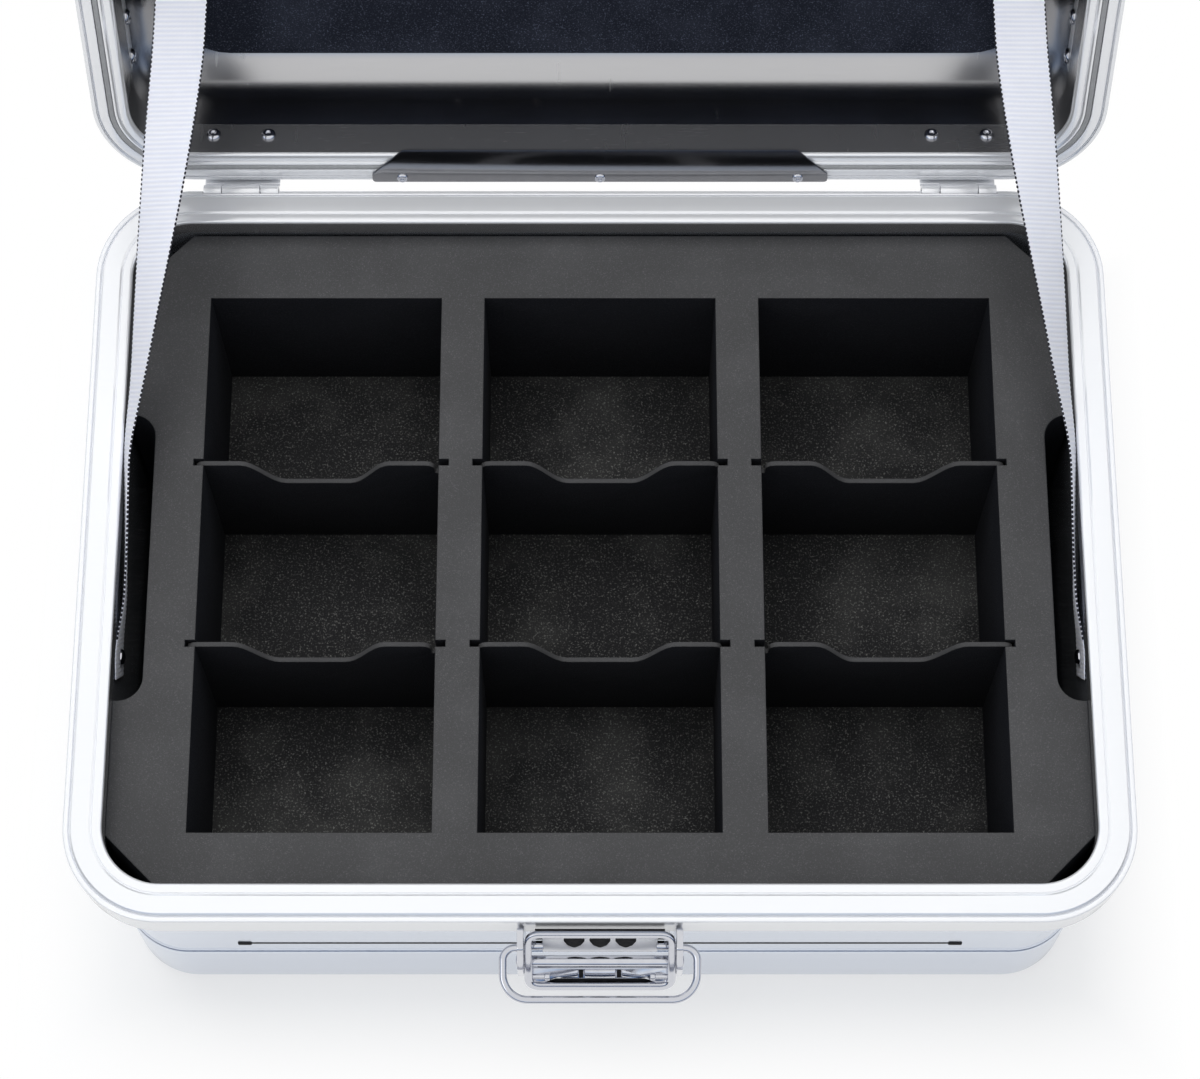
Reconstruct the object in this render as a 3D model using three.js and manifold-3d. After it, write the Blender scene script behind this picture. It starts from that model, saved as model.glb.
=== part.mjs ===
// An open aluminium transport case: compartment foam, two webbing lid stays, rear hinges and a front latch.
// Millimetres, +Z up, +X to the right. The origin is the centre of the base's flat bottom, the latch faces -Y.
// The lid is modelled shut and then turned back about the hinge pins, as far as its stays let it go.
import * as THREE from "three";
import { mergeVertices } from "three/addons/utils/BufferGeometryUtils.js";
import Module from "manifold-3d";

const wasm = await Module();
wasm.setup();

// Overall sizes
const CASE_WIDTH = 600;
const CASE_DEPTH = 450;
const BASE_HEIGHT = 205;
const LID_HEIGHT = 80;
const LID_ANGLE = 110; // degrees between the two rims, with the stays taut
const CORNER_RADIUS = 56;
const PARTING_GAP = 3.2; // between the rims of the shut case
const CLEAR = 0.3; // between pieces that touch
const OVERRUN = 4; // how far a cut runs past the sheet it goes through

// Sheet metal shells
const WALL = 2;
const WALL_INSET = 17; // from the rims' outer edge to the wall's outer face
const FOOT_RADIUS = 10; // bottom edge of the base
const BAND_HEIGHT = 66; // raised lower band of the base
const BAND_STEP = 1.5;
const SHOULDER_RADIUS = 28; // top edge of the lid
const SWAGE_HEIGHT = 84;
const SWAGE_MARGIN = 91; // from the rims' side edges to its ends
const SWAGE_WIDTH = 2;
const SWAGE_SINK = 0.8;

// Rims
const RIM_WIDTH = 22;
const RIM_BODY = 9; // depth of a rim's outer part
const BASE_SKIRT = 25; // flange that hangs from the base rim's outer edge
const SKIRT_SHEET = 2.4;
const RIM_LEG = 14; // inner leg of the base's rim
const LID_RIM_LEG = 27;
const RIM_CAP = 4; // thickness of a rim above the wall's edge
const BEAD_WIDTH = 3;
const BEAD_DROP = 1.2;
const GROOVE_SINK = 2;
const GROOVE_WIDTH = 1;
const BAND_WIDTH = 11.5; // flat band between the two grooves
const RIM_EDGE = 2; // rounding of the inner edge

// Foam
const FOAM_DROP = 20; // from the rim's top to the insert's top
const POCKET_DEPTH = 117.5;
const POCKET_WEB = 26;
const POCKET_COUNT = 3;
const SIDE_BORDER = 40.2; // foam left of the first pocket and right of the last
const REAR_BORDER = 41.7;
const FRONT_BORDER = 35.7;
const FOAM_CHAMFER = 34;
const FLOOR_PAD = 15;
const STAY_RECESS = 16.7; // cut into each side of the insert for the stays
const STAY_RECESS_LENGTH = 177;
const STAY_RECESS_RADIUS = 14;
const STAY_RECESS_SHIFT = -2;
const LOWER_FOAM_INSET = 9; // keeps clear of the rounded bottom edge
const LID_FOAM = 15;
const LID_FOAM_INSET = 46; // from the rims' outer edge
const LID_FOAM_CORNER = 30;

// Dividers
const DIVIDER = 3;
const DIVIDER_EAR = 5.5;
const DIVIDER_EAR_DROP = 14;
const DIVIDER_CLEAR = 0.4;
const DIVIDER_DROP = 2; // below the insert's top
const DIVIDER_DIP = 28; // depth of the finger dip
const DIVIDER_SHARES = [0.32, 0.66]; // of the pockets' length, from their back

// Hinges
const HINGE_OUT = 1; // pin axis behind the rims' rear edge
const HINGE_DROP = 4; // pin axis below the base rim's top
const HINGE_MARGIN = 84; // from the rims' side edges to the hinges' middles
const HINGE_LENGTH = 45;
const KNUCKLE_LENGTH = 22.4;
const KNUCKLE_RADIUS = 3.6;
const PIN_RADIUS = 1.6;
const LEAF = 2;
const LEAF_REACH = 45; // from the rim's face along the wall
const LEAF_SWING = 8.6; // room round the pin for the other leaf
const HINGE_RIVET_GAP = 33;
const BASE_RIVET_DROP = 36;
const LID_RIVET_RISE = 17;

// Rivets
const RIVET_SHANK = 2;
const RIVET_HEAD = 4.6;
const RIVET_HEAD_RISE = 2.6;
const RIVET_TAIL = 3.4;
const RIVET_TAIL_RISE = 1.2;
const RIVET_SIDES = 10;

// Plate on the lid's rim between the hinges
const GUARD_MARGIN = 163; // from the rims' side edges to its ends
const GUARD_DEPTH = 25.5;
const GUARD_CHAMFER = 19;
const GUARD_SHEET = 1.2;
const GUARD_SCREW_MARGIN = 18; // from the plate's ends to the outer screws
const GUARD_SCREW_INSET = 3.6; // from the plate's rear edge
const GUARD_SCREW_HEAD = 3.2;
const GUARD_SCREW_RISE = 1.2;
const GUARD_SCREW_SHANK = 1.4;
const GUARD_SCREW_LENGTH = 5;

// Seal in the lid's rim
const SEAL_WIDTH = 3;
const SEAL_HEIGHT = 2.6;
const SEAL_INSET = 10; // from the rims' outer edge

// Lid stays of flat webbing
const STAY_WIDTH = 30;
const STAY_SHEET = 1.6;
const STAY_ANCHOR_DROP = 42; // lower screw, below the base rim's top
const STAY_ANCHOR_FORWARD = 57; // lower screw, in front of the case's middle
const STAY_TAIL = 12; // past the lower screw
const STAY_TOP_REACH = 142; // from the lid rim's rear edge to the upper bracket
const STAY_SEAT = 22; // length that lies on the bracket
const STAY_INSET = 25.2; // middle of the webbing where it passes the base's rim
const STAY_SLANT = 60; // from the rims' side edge to the middle of the webbing's seat
const STAY_STEPS = 44;

// Stay brackets on the lid's side walls
const BRACKET_SHEET = 2;
const BRACKET_RISE = 30; // above the lid rim's face
const BRACKET_FLANGE = 12;
const BRACKET_START = 60; // from the lid rim's rear edge
const BRACKET_MARGIN = 2; // round the webbing's seat
const BRACKET_RIVETS = [68, 98];

// Latch
const LATCH_WIDTH = 92;
const CHEEK = 3.6;
const LATCH_PLATE = 2;
const LATCH_DROP = 75;
const CHEEK_TOP = 6; // below the base rim's top
const CHEEK_STEP = 1.5; // gap in front of the rim
const CHEEK_BROW = 14; // reach of the cheeks' top edge past the rim
const CHEEK_NOSE = 22; // reach of their front edge
const CHEEK_NOSE_DROPS = [22, 38];
const CHEEK_TAIL = 3; // lower front corner, behind the rim's edge
const PIVOT_OUT = 15; // lever pivot, in front of the rims' edge
const PIVOT_DROP = 30;
const PIVOT_RADIUS = 3.2;
const LEVER_OUT = 3.2; // gap from the rims' edge to the lever's plate
const LEVER_PLATE = 2;
const LEVER_TOP_DROP = 4;
const LEVER_PLATE_HEIGHT = 32;
const LEVER_ARM = 4;
const LEVER_ARM_GAP = 0.4;
const LEVER_BAR_RADIUS = 2.6;
const LEVER_BAR_OUT = 11; // bar, forward of the pivot and as far below it
const LEVER_HOLE_RADIUS = 5.8;
const LEVER_HOLE_GAP = 14.4;
const LEVER_HOLE_DROP = 19;
const LEVER_WEB = 1.6;
const LEVER_WEB_WIDTH = 52;
const LEVER_SLOT = 3;
const LEVER_SLOT_GAP = 19;
const STUB_RADIUS = 1.8;
const STUB_LENGTH = 13;
const STUB_OUT = 4.4; // from the bar back towards the pivot
const BAIL_OUT = 10; // bail pivot, in front of the rims' edge
const BAIL_DROP = 20;
const BAIL_RADIUS = 2.3;
const BAIL_WIDTH = 108.4; // between the wire's centre lines
const BAIL_REACH = 29;
const BAIL_BEND = 7;
const BAIL_CORNER = 14;
const BAIL_TILT = 20.7; // degrees below level at rest
const BAIL_END = 3.2; // length of each end inside its cheek
const CATCH_WIDTH = 40;
const CATCH_SHEET = 2;
const CATCH_REACH = 42; // up the lid's front wall
const CATCH_NOSE = 8; // lip in front of the rims' edge
const CATCH_LIP = 2.6;
const CATCH_GAP = 1; // from the rims' edge to the catch
const CATCH_RIVET_GAP = 24;
const CATCH_RIVET_RISE = 34;
const LATCH_RIVET_GAP = 62;
const LATCH_RIVET_DROPS = [34, 62];

// Places worked out from the sizes
const HALF_WIDTH = CASE_WIDTH / 2;
const HALF_DEPTH = CASE_DEPTH / 2;
const LID_FACE = BASE_HEIGHT + PARTING_GAP;
const LID_TOP = LID_FACE + LID_HEIGHT;
const WALL_X = HALF_WIDTH - WALL_INSET; // outer face of the side walls
const WALL_Y = HALF_DEPTH - WALL_INSET; // outer face of the front and rear walls
const HINGE_Y = HALF_DEPTH + HINGE_OUT;
const HINGE_Z = BASE_HEIGHT - HINGE_DROP;
const FOAM_TOP = BASE_HEIGHT - FOAM_DROP;
const POCKET_FLOOR = FOAM_TOP - POCKET_DEPTH;
const STAY_TOP_X = HALF_WIDTH - STAY_SLANT;
const GUARD_LENGTH = CASE_WIDTH - 2 * GUARD_MARGIN;
const GUARD_SCREW_GAP = GUARD_LENGTH / 2 - GUARD_SCREW_MARGIN;
const CORNER_STEPS = 7;
const ROUND_SIDES = 16;

// Materials
const metal = (color, roughness) => new THREE.MeshStandardMaterial({ color, roughness, metalness: 1 });
const soft = (color) => new THREE.MeshStandardMaterial({ color, roughness: 1, metalness: 0 });
const ALUMINIUM = metal(0xe4e7ea, 0.28);
const STEEL = metal(0xc9ccd0, 0.2);
const FOAM = soft(0x37383a);
const FOAM_DARK = soft(0x1f2124);
const WEBBING = soft(0xeef0f6);
const RUBBER = soft(0x15161a);

const base = new THREE.Group();
const lid = new THREE.Group();
const lever = new THREE.Group();
const bail = new THREE.Group();

// A closed mesh as a manifold-3d solid, and back.
function toSolid(geometry) {
  const bare = geometry.clone();
  bare.deleteAttribute("normal");
  bare.deleteAttribute("uv");
  const merged = mergeVertices(bare);
  const mesh = new wasm.Mesh({
    numProp: 3,
    vertProperties: new Float32Array(merged.attributes.position.array),
    triVerts: new Uint32Array(merged.index.array),
  });
  return new wasm.Manifold(mesh);
}

function toGeometry(solid) {
  const mesh = solid.getMesh();
  const geometry = new THREE.BufferGeometry();
  geometry.setAttribute("position", new THREE.BufferAttribute(mesh.vertProperties, 3));
  geometry.setIndex(new THREE.BufferAttribute(mesh.triVerts, 1));
  return geometry;
}

function cut(body, ...tools) {
  let solid = toSolid(body);
  for (const tool of tools) solid = solid.subtract(toSolid(tool));
  return toGeometry(solid);
}

function join(...pieces) {
  let solid = toSolid(pieces[0]);
  for (const piece of pieces.slice(1)) solid = solid.add(toSolid(piece));
  return toGeometry(solid);
}

function add(group, name, geometry, material) {
  const flat = geometry.index ? geometry.toNonIndexed() : geometry;
  flat.computeVertexNormals();
  const mesh = new THREE.Mesh(flat, material);
  mesh.name = name;
  group.add(mesh);
}

// A box from its lowest to its highest corner.
function block(low, high) {
  const size = high.map((value, i) => value - low[i]);
  const middle = high.map((value, i) => (value + low[i]) / 2);
  return new THREE.BoxGeometry(...size).translate(...middle);
}

// A cylinder along X, Y or Z about a point.
function rod(axis, radius, length, at, sides = ROUND_SIDES) {
  const cylinder = new THREE.CylinderGeometry(radius, radius, length, sides);
  if (axis === "x") cylinder.rotateZ(Math.PI / 2);
  if (axis === "z") cylinder.rotateX(Math.PI / 2);
  return cylinder.translate(...at);
}

// A flat outline of [y, z] points, given a width across X about the middle x.
function acrossX(outline, x, width) {
  const shape = new THREE.Shape(outline.map(([y, z]) => new THREE.Vector2(y, z)));
  const bar = new THREE.ExtrudeGeometry(shape, { depth: width, bevelEnabled: false });
  const turn = new THREE.Matrix4().set(0, 0, 1, x - width / 2, 1, 0, 0, 0, 0, 1, 0, 0, 0, 0, 0, 1);
  return bar.applyMatrix4(turn);
}

// Skins rows of points into one closed body. Open ends are closed by a point in their middle.
function skin(rows, capped) {
  const count = rows[0].length;
  const points = rows.flat();
  const faces = [];
  const last = capped ? rows.length - 1 : rows.length;
  for (let row = 0; row < last; row++) {
    const here = row * count;
    const next = ((row + 1) % rows.length) * count;
    for (let i = 0; i < count; i++) {
      const j = (i + 1) % count;
      faces.push(here + i, here + j, next + j, here + i, next + j, next + i);
    }
  }
  if (capped) {
    const middle = (row) => [0, 1, 2].map((k) => row.reduce((sum, point) => sum + point[k], 0) / count);
    const first = points.push(middle(rows[0])) - 1;
    const end = points.push(middle(rows[rows.length - 1])) - 1;
    const lastRow = (rows.length - 1) * count;
    for (let i = 0; i < count; i++) {
      const j = (i + 1) % count;
      faces.push(first, j, i, end, lastRow + i, lastRow + j);
    }
  }
  const geometry = new THREE.BufferGeometry();
  geometry.setAttribute("position", new THREE.Float32BufferAttribute(points.flat(), 3));
  geometry.setIndex(faces);
  return toSolid(geometry).volume() < 0 ? flipped(geometry, faces) : geometry;
}

function flipped(geometry, faces) {
  const turned = [];
  for (let i = 0; i < faces.length; i += 3) turned.push(faces[i], faces[i + 2], faces[i + 1]);
  return geometry.setIndex(turned);
}

// The case's rounded rectangle at a height, drawn in from the rims' outer edge.
function ringRow(inset, z, radius = CORNER_RADIUS - inset) {
  const row = [];
  const corners = [[1, 1], [-1, 1], [-1, -1], [1, -1]];
  corners.forEach(([sx, sy], quarter) => {
    for (let step = 0; step <= CORNER_STEPS; step++) {
      const angle = ((quarter + step / CORNER_STEPS) * Math.PI) / 2;
      const x = sx * (HALF_WIDTH - inset - radius) + radius * Math.cos(angle);
      const y = sy * (HALF_DEPTH - inset - radius) + radius * Math.sin(angle);
      row.push([x, y, z]);
    }
  });
  return row;
}

// Points of a quarter circle between two directions, as [inset, z] pairs.
function arc(inset, z, radius, from, to, steps = 4) {
  const points = [];
  for (let step = 0; step <= steps; step++) {
    const angle = THREE.MathUtils.degToRad(from + ((to - from) * step) / steps);
    points.push([inset + radius * Math.cos(angle), z + radius * Math.sin(angle)]);
  }
  return points;
}

const ringSolid = (profile, capped) => skin(profile.map(([inset, z]) => ringRow(inset, z)), capped);

// A button-head rivet along a direction, its head's seat at a point, through a stack of sheets.
function rivet(at, direction, grip, head = RIVET_HEAD, headRise = RIVET_HEAD_RISE) {
  const headShare = 0.72;
  const outline = [
    [0, headRise],
    [head * headShare, headRise * headShare],
    [head, CLEAR],
    [RIVET_SHANK, CLEAR],
    [RIVET_SHANK, -grip - CLEAR],
    [RIVET_TAIL, -grip - CLEAR],
    [RIVET_TAIL, -grip - RIVET_TAIL_RISE],
    [0, -grip - RIVET_TAIL_RISE],
  ];
  const points = outline.map(([radius, height]) => new THREE.Vector2(radius, height)).reverse();
  const turned = new THREE.LatheGeometry(points, RIVET_SIDES);
  const up = new THREE.Vector3(0, 1, 0);
  const turn = new THREE.Quaternion().setFromUnitVectors(up, new THREE.Vector3(...direction));
  return turned.applyQuaternion(turn).translate(...at);
}

const RIVET_HOLE = RIVET_SHANK + CLEAR;
const drillAt = (axis, at, length = 2 * LEAF_REACH) => rod(axis, RIVET_HOLE, length, at, RIVET_SIDES);

// Profiles of the rims. Depth is measured away from the parting face: down for the base, up for the lid.
const ROUND = 0.9; // small roundings of the rolled edges
function rimProfile(face, up, leg, skirt) {
  const at = (inset, depth) => [inset, face + up * depth];
  const bandStart = BEAD_WIDTH + GROOVE_WIDTH;
  const bandEnd = bandStart + BAND_WIDTH;
  const wallOut = WALL_INSET - CLEAR;
  const wallIn = WALL_INSET + WALL + CLEAR;
  const points = [
    at(ROUND, skirt),
    at(0, skirt - 2 * ROUND),
    at(0, BEAD_DROP + 2 * ROUND),
    at(ROUND / 2, BEAD_DROP + ROUND / 2),
    at(BEAD_WIDTH / 2, BEAD_DROP),
    at(BEAD_WIDTH, BEAD_DROP + ROUND / 2),
    at(BEAD_WIDTH + GROOVE_WIDTH / 2, BEAD_DROP + GROOVE_SINK),
    at(bandStart, ROUND),
    at(bandStart + ROUND, 0),
    at(bandEnd - ROUND, 0),
    at(bandEnd, ROUND / 2),
    at(bandEnd + GROOVE_WIDTH / 2, GROOVE_SINK / 2),
    at(bandEnd + GROOVE_WIDTH, 0),
    at(RIM_WIDTH - RIM_EDGE, 0),
    at(RIM_WIDTH - RIM_EDGE / 4, RIM_EDGE / 4),
    at(RIM_WIDTH, RIM_EDGE),
    at(RIM_WIDTH, leg),
    at(wallIn, leg),
    at(wallIn, RIM_CAP),
    at(wallOut, RIM_CAP),
    at(wallOut, RIM_BODY),
  ];
  if (skirt > RIM_BODY) points.push(at(SKIRT_SHEET, RIM_BODY), at(SKIRT_SHEET, skirt));
  return points;
}

const sides = [-1, 1];
const sideName = (side) => (side < 0 ? "left" : "right");
const hingeX = (side) => side * (HALF_WIDTH - HINGE_MARGIN);
const hingeRivetX = (side, end) => hingeX(side) + (end * HINGE_RIVET_GAP) / 2;
const hingeHoles = (side, z) => sides.map((end) => drillAt("y", [hingeRivetX(side, end), WALL_Y, z]));

// Base: a drawn tray with a raised lower band and a pressed line across its front
function baseShell() {
  const foot = WALL_INSET - BAND_STEP + FOOT_RADIUS;
  const wallTop = BASE_HEIGHT - RIM_CAP - CLEAR;
  const profile = [
    ...arc(foot, FOOT_RADIUS, FOOT_RADIUS, 270, 180),
    [WALL_INSET - BAND_STEP, BAND_HEIGHT],
    [WALL_INSET, BAND_HEIGHT + BAND_STEP],
    [WALL_INSET, wallTop],
    [WALL_INSET + WALL, wallTop],
    [WALL_INSET + WALL, BAND_HEIGHT],
    [WALL_INSET + WALL - BAND_STEP, BAND_HEIGHT - BAND_STEP],
    ...arc(foot, FOOT_RADIUS, FOOT_RADIUS - WALL, 180, 270),
  ];
  const swage = block(
    [SWAGE_MARGIN - HALF_WIDTH, -WALL_Y - OVERRUN, SWAGE_HEIGHT - SWAGE_WIDTH / 2],
    [HALF_WIDTH - SWAGE_MARGIN, -WALL_Y + SWAGE_SINK, SWAGE_HEIGHT + SWAGE_WIDTH / 2],
  );
  const holes = [];
  for (const side of sides) {
    holes.push(drillAt("x", [side * WALL_X, -STAY_ANCHOR_FORWARD, BASE_HEIGHT - STAY_ANCHOR_DROP]));
    holes.push(...hingeHoles(side, BASE_HEIGHT - BASE_RIVET_DROP));
    for (const drop of LATCH_RIVET_DROPS) {
      holes.push(drillAt("y", [(side * LATCH_RIVET_GAP) / 2, -WALL_Y, BASE_HEIGHT - drop]));
    }
  }
  return cut(ringSolid(profile, true), swage, ...holes);
}

function baseRim() {
  const ring = ringSolid(rimProfile(BASE_HEIGHT, -1, RIM_LEG, BASE_SKIRT), false);
  const barrels = sides.map((side) =>
    rod("x", KNUCKLE_RADIUS + 2 * CLEAR, HINGE_LENGTH + 2 * CLEAR, [hingeX(side), HINGE_Y, HINGE_Z]),
  );
  return cut(ring, ...barrels);
}

// A rounded slab of foam between two heights, its outline drawn in from the rims' outer edge.
function foamSlab(inset, low, high, radius = CORNER_RADIUS - inset) {
  return skin([ringRow(inset, low, radius), ringRow(inset, high, radius)], true);
}

const FOAM_INSET = WALL_INSET + WALL + RIVET_TAIL_RISE + 2 * CLEAR;
const FOAM_X = HALF_WIDTH - FOAM_INSET;
const FOAM_Y = HALF_DEPTH - FOAM_INSET;
const POCKET_WIDTH = (2 * (FOAM_X - SIDE_BORDER) - (POCKET_COUNT - 1) * POCKET_WEB) / POCKET_COUNT;
const POCKET_BACK = FOAM_Y - REAR_BORDER;
const POCKET_LENGTH = POCKET_BACK + FOAM_Y - FRONT_BORDER;
const DIVIDER_PLACES = DIVIDER_SHARES.map((share) => share * POCKET_LENGTH);
const pocketX = (column) => (column - (POCKET_COUNT - 1) / 2) * (POCKET_WIDTH + POCKET_WEB);

// One side of the insert's outline, from its front to its back, with the recess for a stay.
function insertSide() {
  const inner = FOAM_X - STAY_RECESS;
  const bend = inner + STAY_RECESS_RADIUS;
  const front = STAY_RECESS_SHIFT - STAY_RECESS_LENGTH / 2;
  const back = STAY_RECESS_SHIFT + STAY_RECESS_LENGTH / 2;
  return [
    [FOAM_X - FOAM_CHAMFER, -FOAM_Y],
    [FOAM_X, -FOAM_Y + FOAM_CHAMFER],
    [FOAM_X, front],
    ...arc(bend, front + STAY_RECESS_RADIUS, STAY_RECESS_RADIUS, 270, 180),
    ...arc(bend, back - STAY_RECESS_RADIUS, STAY_RECESS_RADIUS, 180, 90),
    [FOAM_X, back],
    [FOAM_X, FOAM_Y - FOAM_CHAMFER],
    [FOAM_X - FOAM_CHAMFER, FOAM_Y],
  ];
}

// A pocket's outline, with a slot on each side for every divider.
function pocketOutline(column) {
  const half = POCKET_WIDTH / 2;
  const ear = half + DIVIDER_EAR + DIVIDER_CLEAR;
  const slot = DIVIDER / 2 + DIVIDER_CLEAR;
  const right = [[half, POCKET_BACK]];
  for (const place of DIVIDER_PLACES) {
    const y = POCKET_BACK - place;
    right.push([half, y + slot], [ear, y + slot], [ear, y - slot], [half, y - slot]);
  }
  right.push([half, POCKET_BACK - POCKET_LENGTH]);
  const left = right.map(([x, y]) => [-x, y]).reverse();
  return [...right, ...left].map(([x, y]) => [pocketX(column) + x, y]);
}

function foamInsert() {
  const right = insertSide();
  const left = right.map(([x, y]) => [-x, y]).reverse();
  const upright = (outline, low, high) => {
    const shape = new THREE.Shape(outline.map(([x, y]) => new THREE.Vector2(x, y)));
    return new THREE.ExtrudeGeometry(shape, { depth: high - low, bevelEnabled: false }).translate(0, 0, low);
  };
  const pockets = [];
  for (let column = 0; column < POCKET_COUNT; column++) {
    pockets.push(upright(pocketOutline(column), POCKET_FLOOR - OVERRUN, FOAM_TOP + OVERRUN));
  }
  return cut(upright([...right, ...left], POCKET_FLOOR, FOAM_TOP), ...pockets);
}

// A divider sheet: ears in the slots, raised shoulders and a dip for the fingers.
const DIP_HALF = 19;
const DIP_RAMP = 25;
const SHOULDER_ROUND = 6;
function divider(column, place) {
  const half = POCKET_WIDTH / 2 - DIVIDER_CLEAR;
  const top = FOAM_TOP - DIVIDER_DROP;
  const floor = POCKET_FLOOR + CLEAR;
  const ear = half + DIVIDER_EAR;
  const right = [[ear, floor], [ear, FOAM_TOP - DIVIDER_EAR_DROP], [half, FOAM_TOP - DIVIDER_EAR_DROP]];
  right.push(...arc(half - SHOULDER_ROUND, top - SHOULDER_ROUND, SHOULDER_ROUND, 0, 90, 3));
  const steps = 8;
  for (let step = 0; step <= steps; step++) {
    const share = step / steps;
    const drop = (DIVIDER_DIP * (1 - Math.cos(Math.PI * share))) / 2;
    right.push([DIP_HALF + DIP_RAMP * (1 - share), top - drop]);
  }
  const left = right.map(([x, z]) => [-x, z]).reverse();
  const shape = new THREE.Shape([...right, ...left].map(([x, z]) => new THREE.Vector2(x, z)));
  const sheet = new THREE.ExtrudeGeometry(shape, { depth: DIVIDER, bevelEnabled: false });
  return sheet.rotateX(Math.PI / 2).translate(pocketX(column), POCKET_BACK - place + DIVIDER / 2, 0);
}

add(base, "base_shell", baseShell(), ALUMINIUM);
add(base, "base_rim", baseRim(), ALUMINIUM);
const PAD_LOW = POCKET_FLOOR - FLOOR_PAD - CLEAR;
add(base, "lower_foam", foamSlab(FOAM_INSET + LOWER_FOAM_INSET, WALL + CLEAR, PAD_LOW - CLEAR), FOAM_DARK);
add(base, "floor_pad", foamSlab(FOAM_INSET + CLEAR, PAD_LOW, POCKET_FLOOR - CLEAR), FOAM_DARK);
add(base, "foam_insert", foamInsert(), FOAM);
for (let column = 0; column < POCKET_COUNT; column++) {
  DIVIDER_PLACES.forEach((place, row) => {
    add(base, `divider_${column + 1}_${row + 1}`, divider(column, place), FOAM);
  });
}

// Hinges: each leaf is bent from sheet round the rims, with its knuckles on the pin.
function leafStrip(face, up, reach) {
  const skirt = (up < 0 ? BASE_SKIRT : RIM_BODY) + CLEAR;
  const at = (out, depth) => [out, face + up * depth];
  const outer = HINGE_Y + KNUCKLE_RADIUS;
  const wall = WALL_Y + CLEAR;
  const bend = [
    [outer, HINGE_Z],
    at(outer, skirt + LEAF),
    at(wall + LEAF, skirt + LEAF),
    at(wall + LEAF, reach),
    at(wall, reach),
    at(wall, skirt),
    at(outer - LEAF, skirt),
    [outer - LEAF, HINGE_Z],
  ];
  return up < 0 ? bend : bend.reverse();
}

function hingeLeaf(side, face, up, lidLeaf, rivetHeight) {
  const x = hingeX(side);
  const axis = [x, HINGE_Y, HINGE_Z];
  const strip = acrossX(leafStrip(face, up, LEAF_REACH), x, HINGE_LENGTH);
  const barrel = rod("x", KNUCKLE_RADIUS, HINGE_LENGTH, axis);
  const middle = KNUCKLE_LENGTH + (lidLeaf ? 0 : 2 * CLEAR);
  const ends = HINGE_LENGTH - middle;
  const away = lidLeaf
    ? sides.map((end) => rod("x", LEAF_SWING, ends, [x + end * (middle / 2 + ends / 2), HINGE_Y, HINGE_Z]))
    : [rod("x", LEAF_SWING, middle, axis)];
  const bore = rod("x", PIN_RADIUS + CLEAR, HINGE_LENGTH + OVERRUN, axis, RIVET_SIDES);
  return cut(join(strip, barrel), ...away, bore, ...hingeHoles(side, rivetHeight));
}

for (const side of sides) {
  const name = sideName(side);
  const rivetHeight = BASE_HEIGHT - BASE_RIVET_DROP;
  add(base, `hinge_leaf_base_${name}`, hingeLeaf(side, BASE_HEIGHT, -1, false, rivetHeight), ALUMINIUM);
  const pin = rod("x", PIN_RADIUS, HINGE_LENGTH, [hingeX(side), HINGE_Y, HINGE_Z], RIVET_SIDES);
  add(base, `hinge_pin_${name}`, pin, STEEL);
  sides.forEach((end, i) => {
    const at = [hingeRivetX(side, end), WALL_Y + CLEAR + LEAF, rivetHeight];
    add(base, `base_hinge_rivet_${name}_${i + 1}`, rivet(at, [0, 1, 0], LEAF + CLEAR + WALL), STEEL);
  });
}

// Lid, modelled shut. Its pieces keep their places here and are turned back at the end.
const reach = (distance) => HALF_DEPTH - distance; // y at a distance from the lid rim's rear edge
const FLANGE_MIDDLE = LID_FACE + BRACKET_RISE + BRACKET_FLANGE / 2;
const bracketRivetAt = (side, distance, x) => [side * x, reach(distance), FLANGE_MIDDLE];

function lidShell() {
  const top = LID_TOP - SHOULDER_RADIUS;
  const wallEnd = LID_FACE + RIM_CAP + CLEAR;
  const middle = WALL_INSET + SHOULDER_RADIUS;
  const profile = [
    ...arc(middle, top, SHOULDER_RADIUS, 90, 180, 6),
    [WALL_INSET, wallEnd],
    [WALL_INSET + WALL, wallEnd],
    ...arc(middle, top, SHOULDER_RADIUS - WALL, 180, 90, 6),
  ];
  const holes = [];
  for (const side of sides) {
    holes.push(...hingeHoles(side, LID_FACE + LID_RIVET_RISE));
    for (const distance of BRACKET_RIVETS) holes.push(drillAt("x", bracketRivetAt(side, distance, WALL_X)));
    holes.push(drillAt("y", [(side * CATCH_RIVET_GAP) / 2, -WALL_Y, LID_FACE + CATCH_RIVET_RISE]));
  }
  return cut(ringSolid(profile, true), ...holes);
}

function lidRim() {
  const ring = ringSolid(rimProfile(LID_FACE, 1, LID_RIM_LEG, RIM_BODY), false);
  const groove = sealRing(CLEAR, OVERRUN);
  const holes = sides.flatMap((side) => hingeHoles(side, LID_FACE + LID_RIVET_RISE));
  for (const x of GUARD_SCREW_X) {
    const at = [x, GUARD_SCREW_Y, LID_FACE];
    holes.push(rod("z", GUARD_SCREW_SHANK + CLEAR, 2 * GUARD_SCREW_LENGTH, at, RIVET_SIDES));
  }
  return cut(ring, groove, ...holes);
}

// The seal is a ring of square section in the flat band of the lid's rim, and its groove is a little larger.
function sealRing(clear, below) {
  const low = LID_FACE - below;
  const high = LID_FACE + SEAL_HEIGHT + clear;
  const near = SEAL_INSET - clear;
  const far = SEAL_INSET + SEAL_WIDTH + clear;
  return ringSolid([[near, low], [far, low], [far, high], [near, high]], false);
}

const GUARD_Y = HALF_DEPTH - HINGE_OUT;
const GUARD_TOP = LID_FACE - CLEAR;
const GUARD_SCREW_X = [-GUARD_SCREW_GAP, 0, GUARD_SCREW_GAP];
const GUARD_SCREW_Y = GUARD_Y - GUARD_SCREW_INSET;

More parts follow.
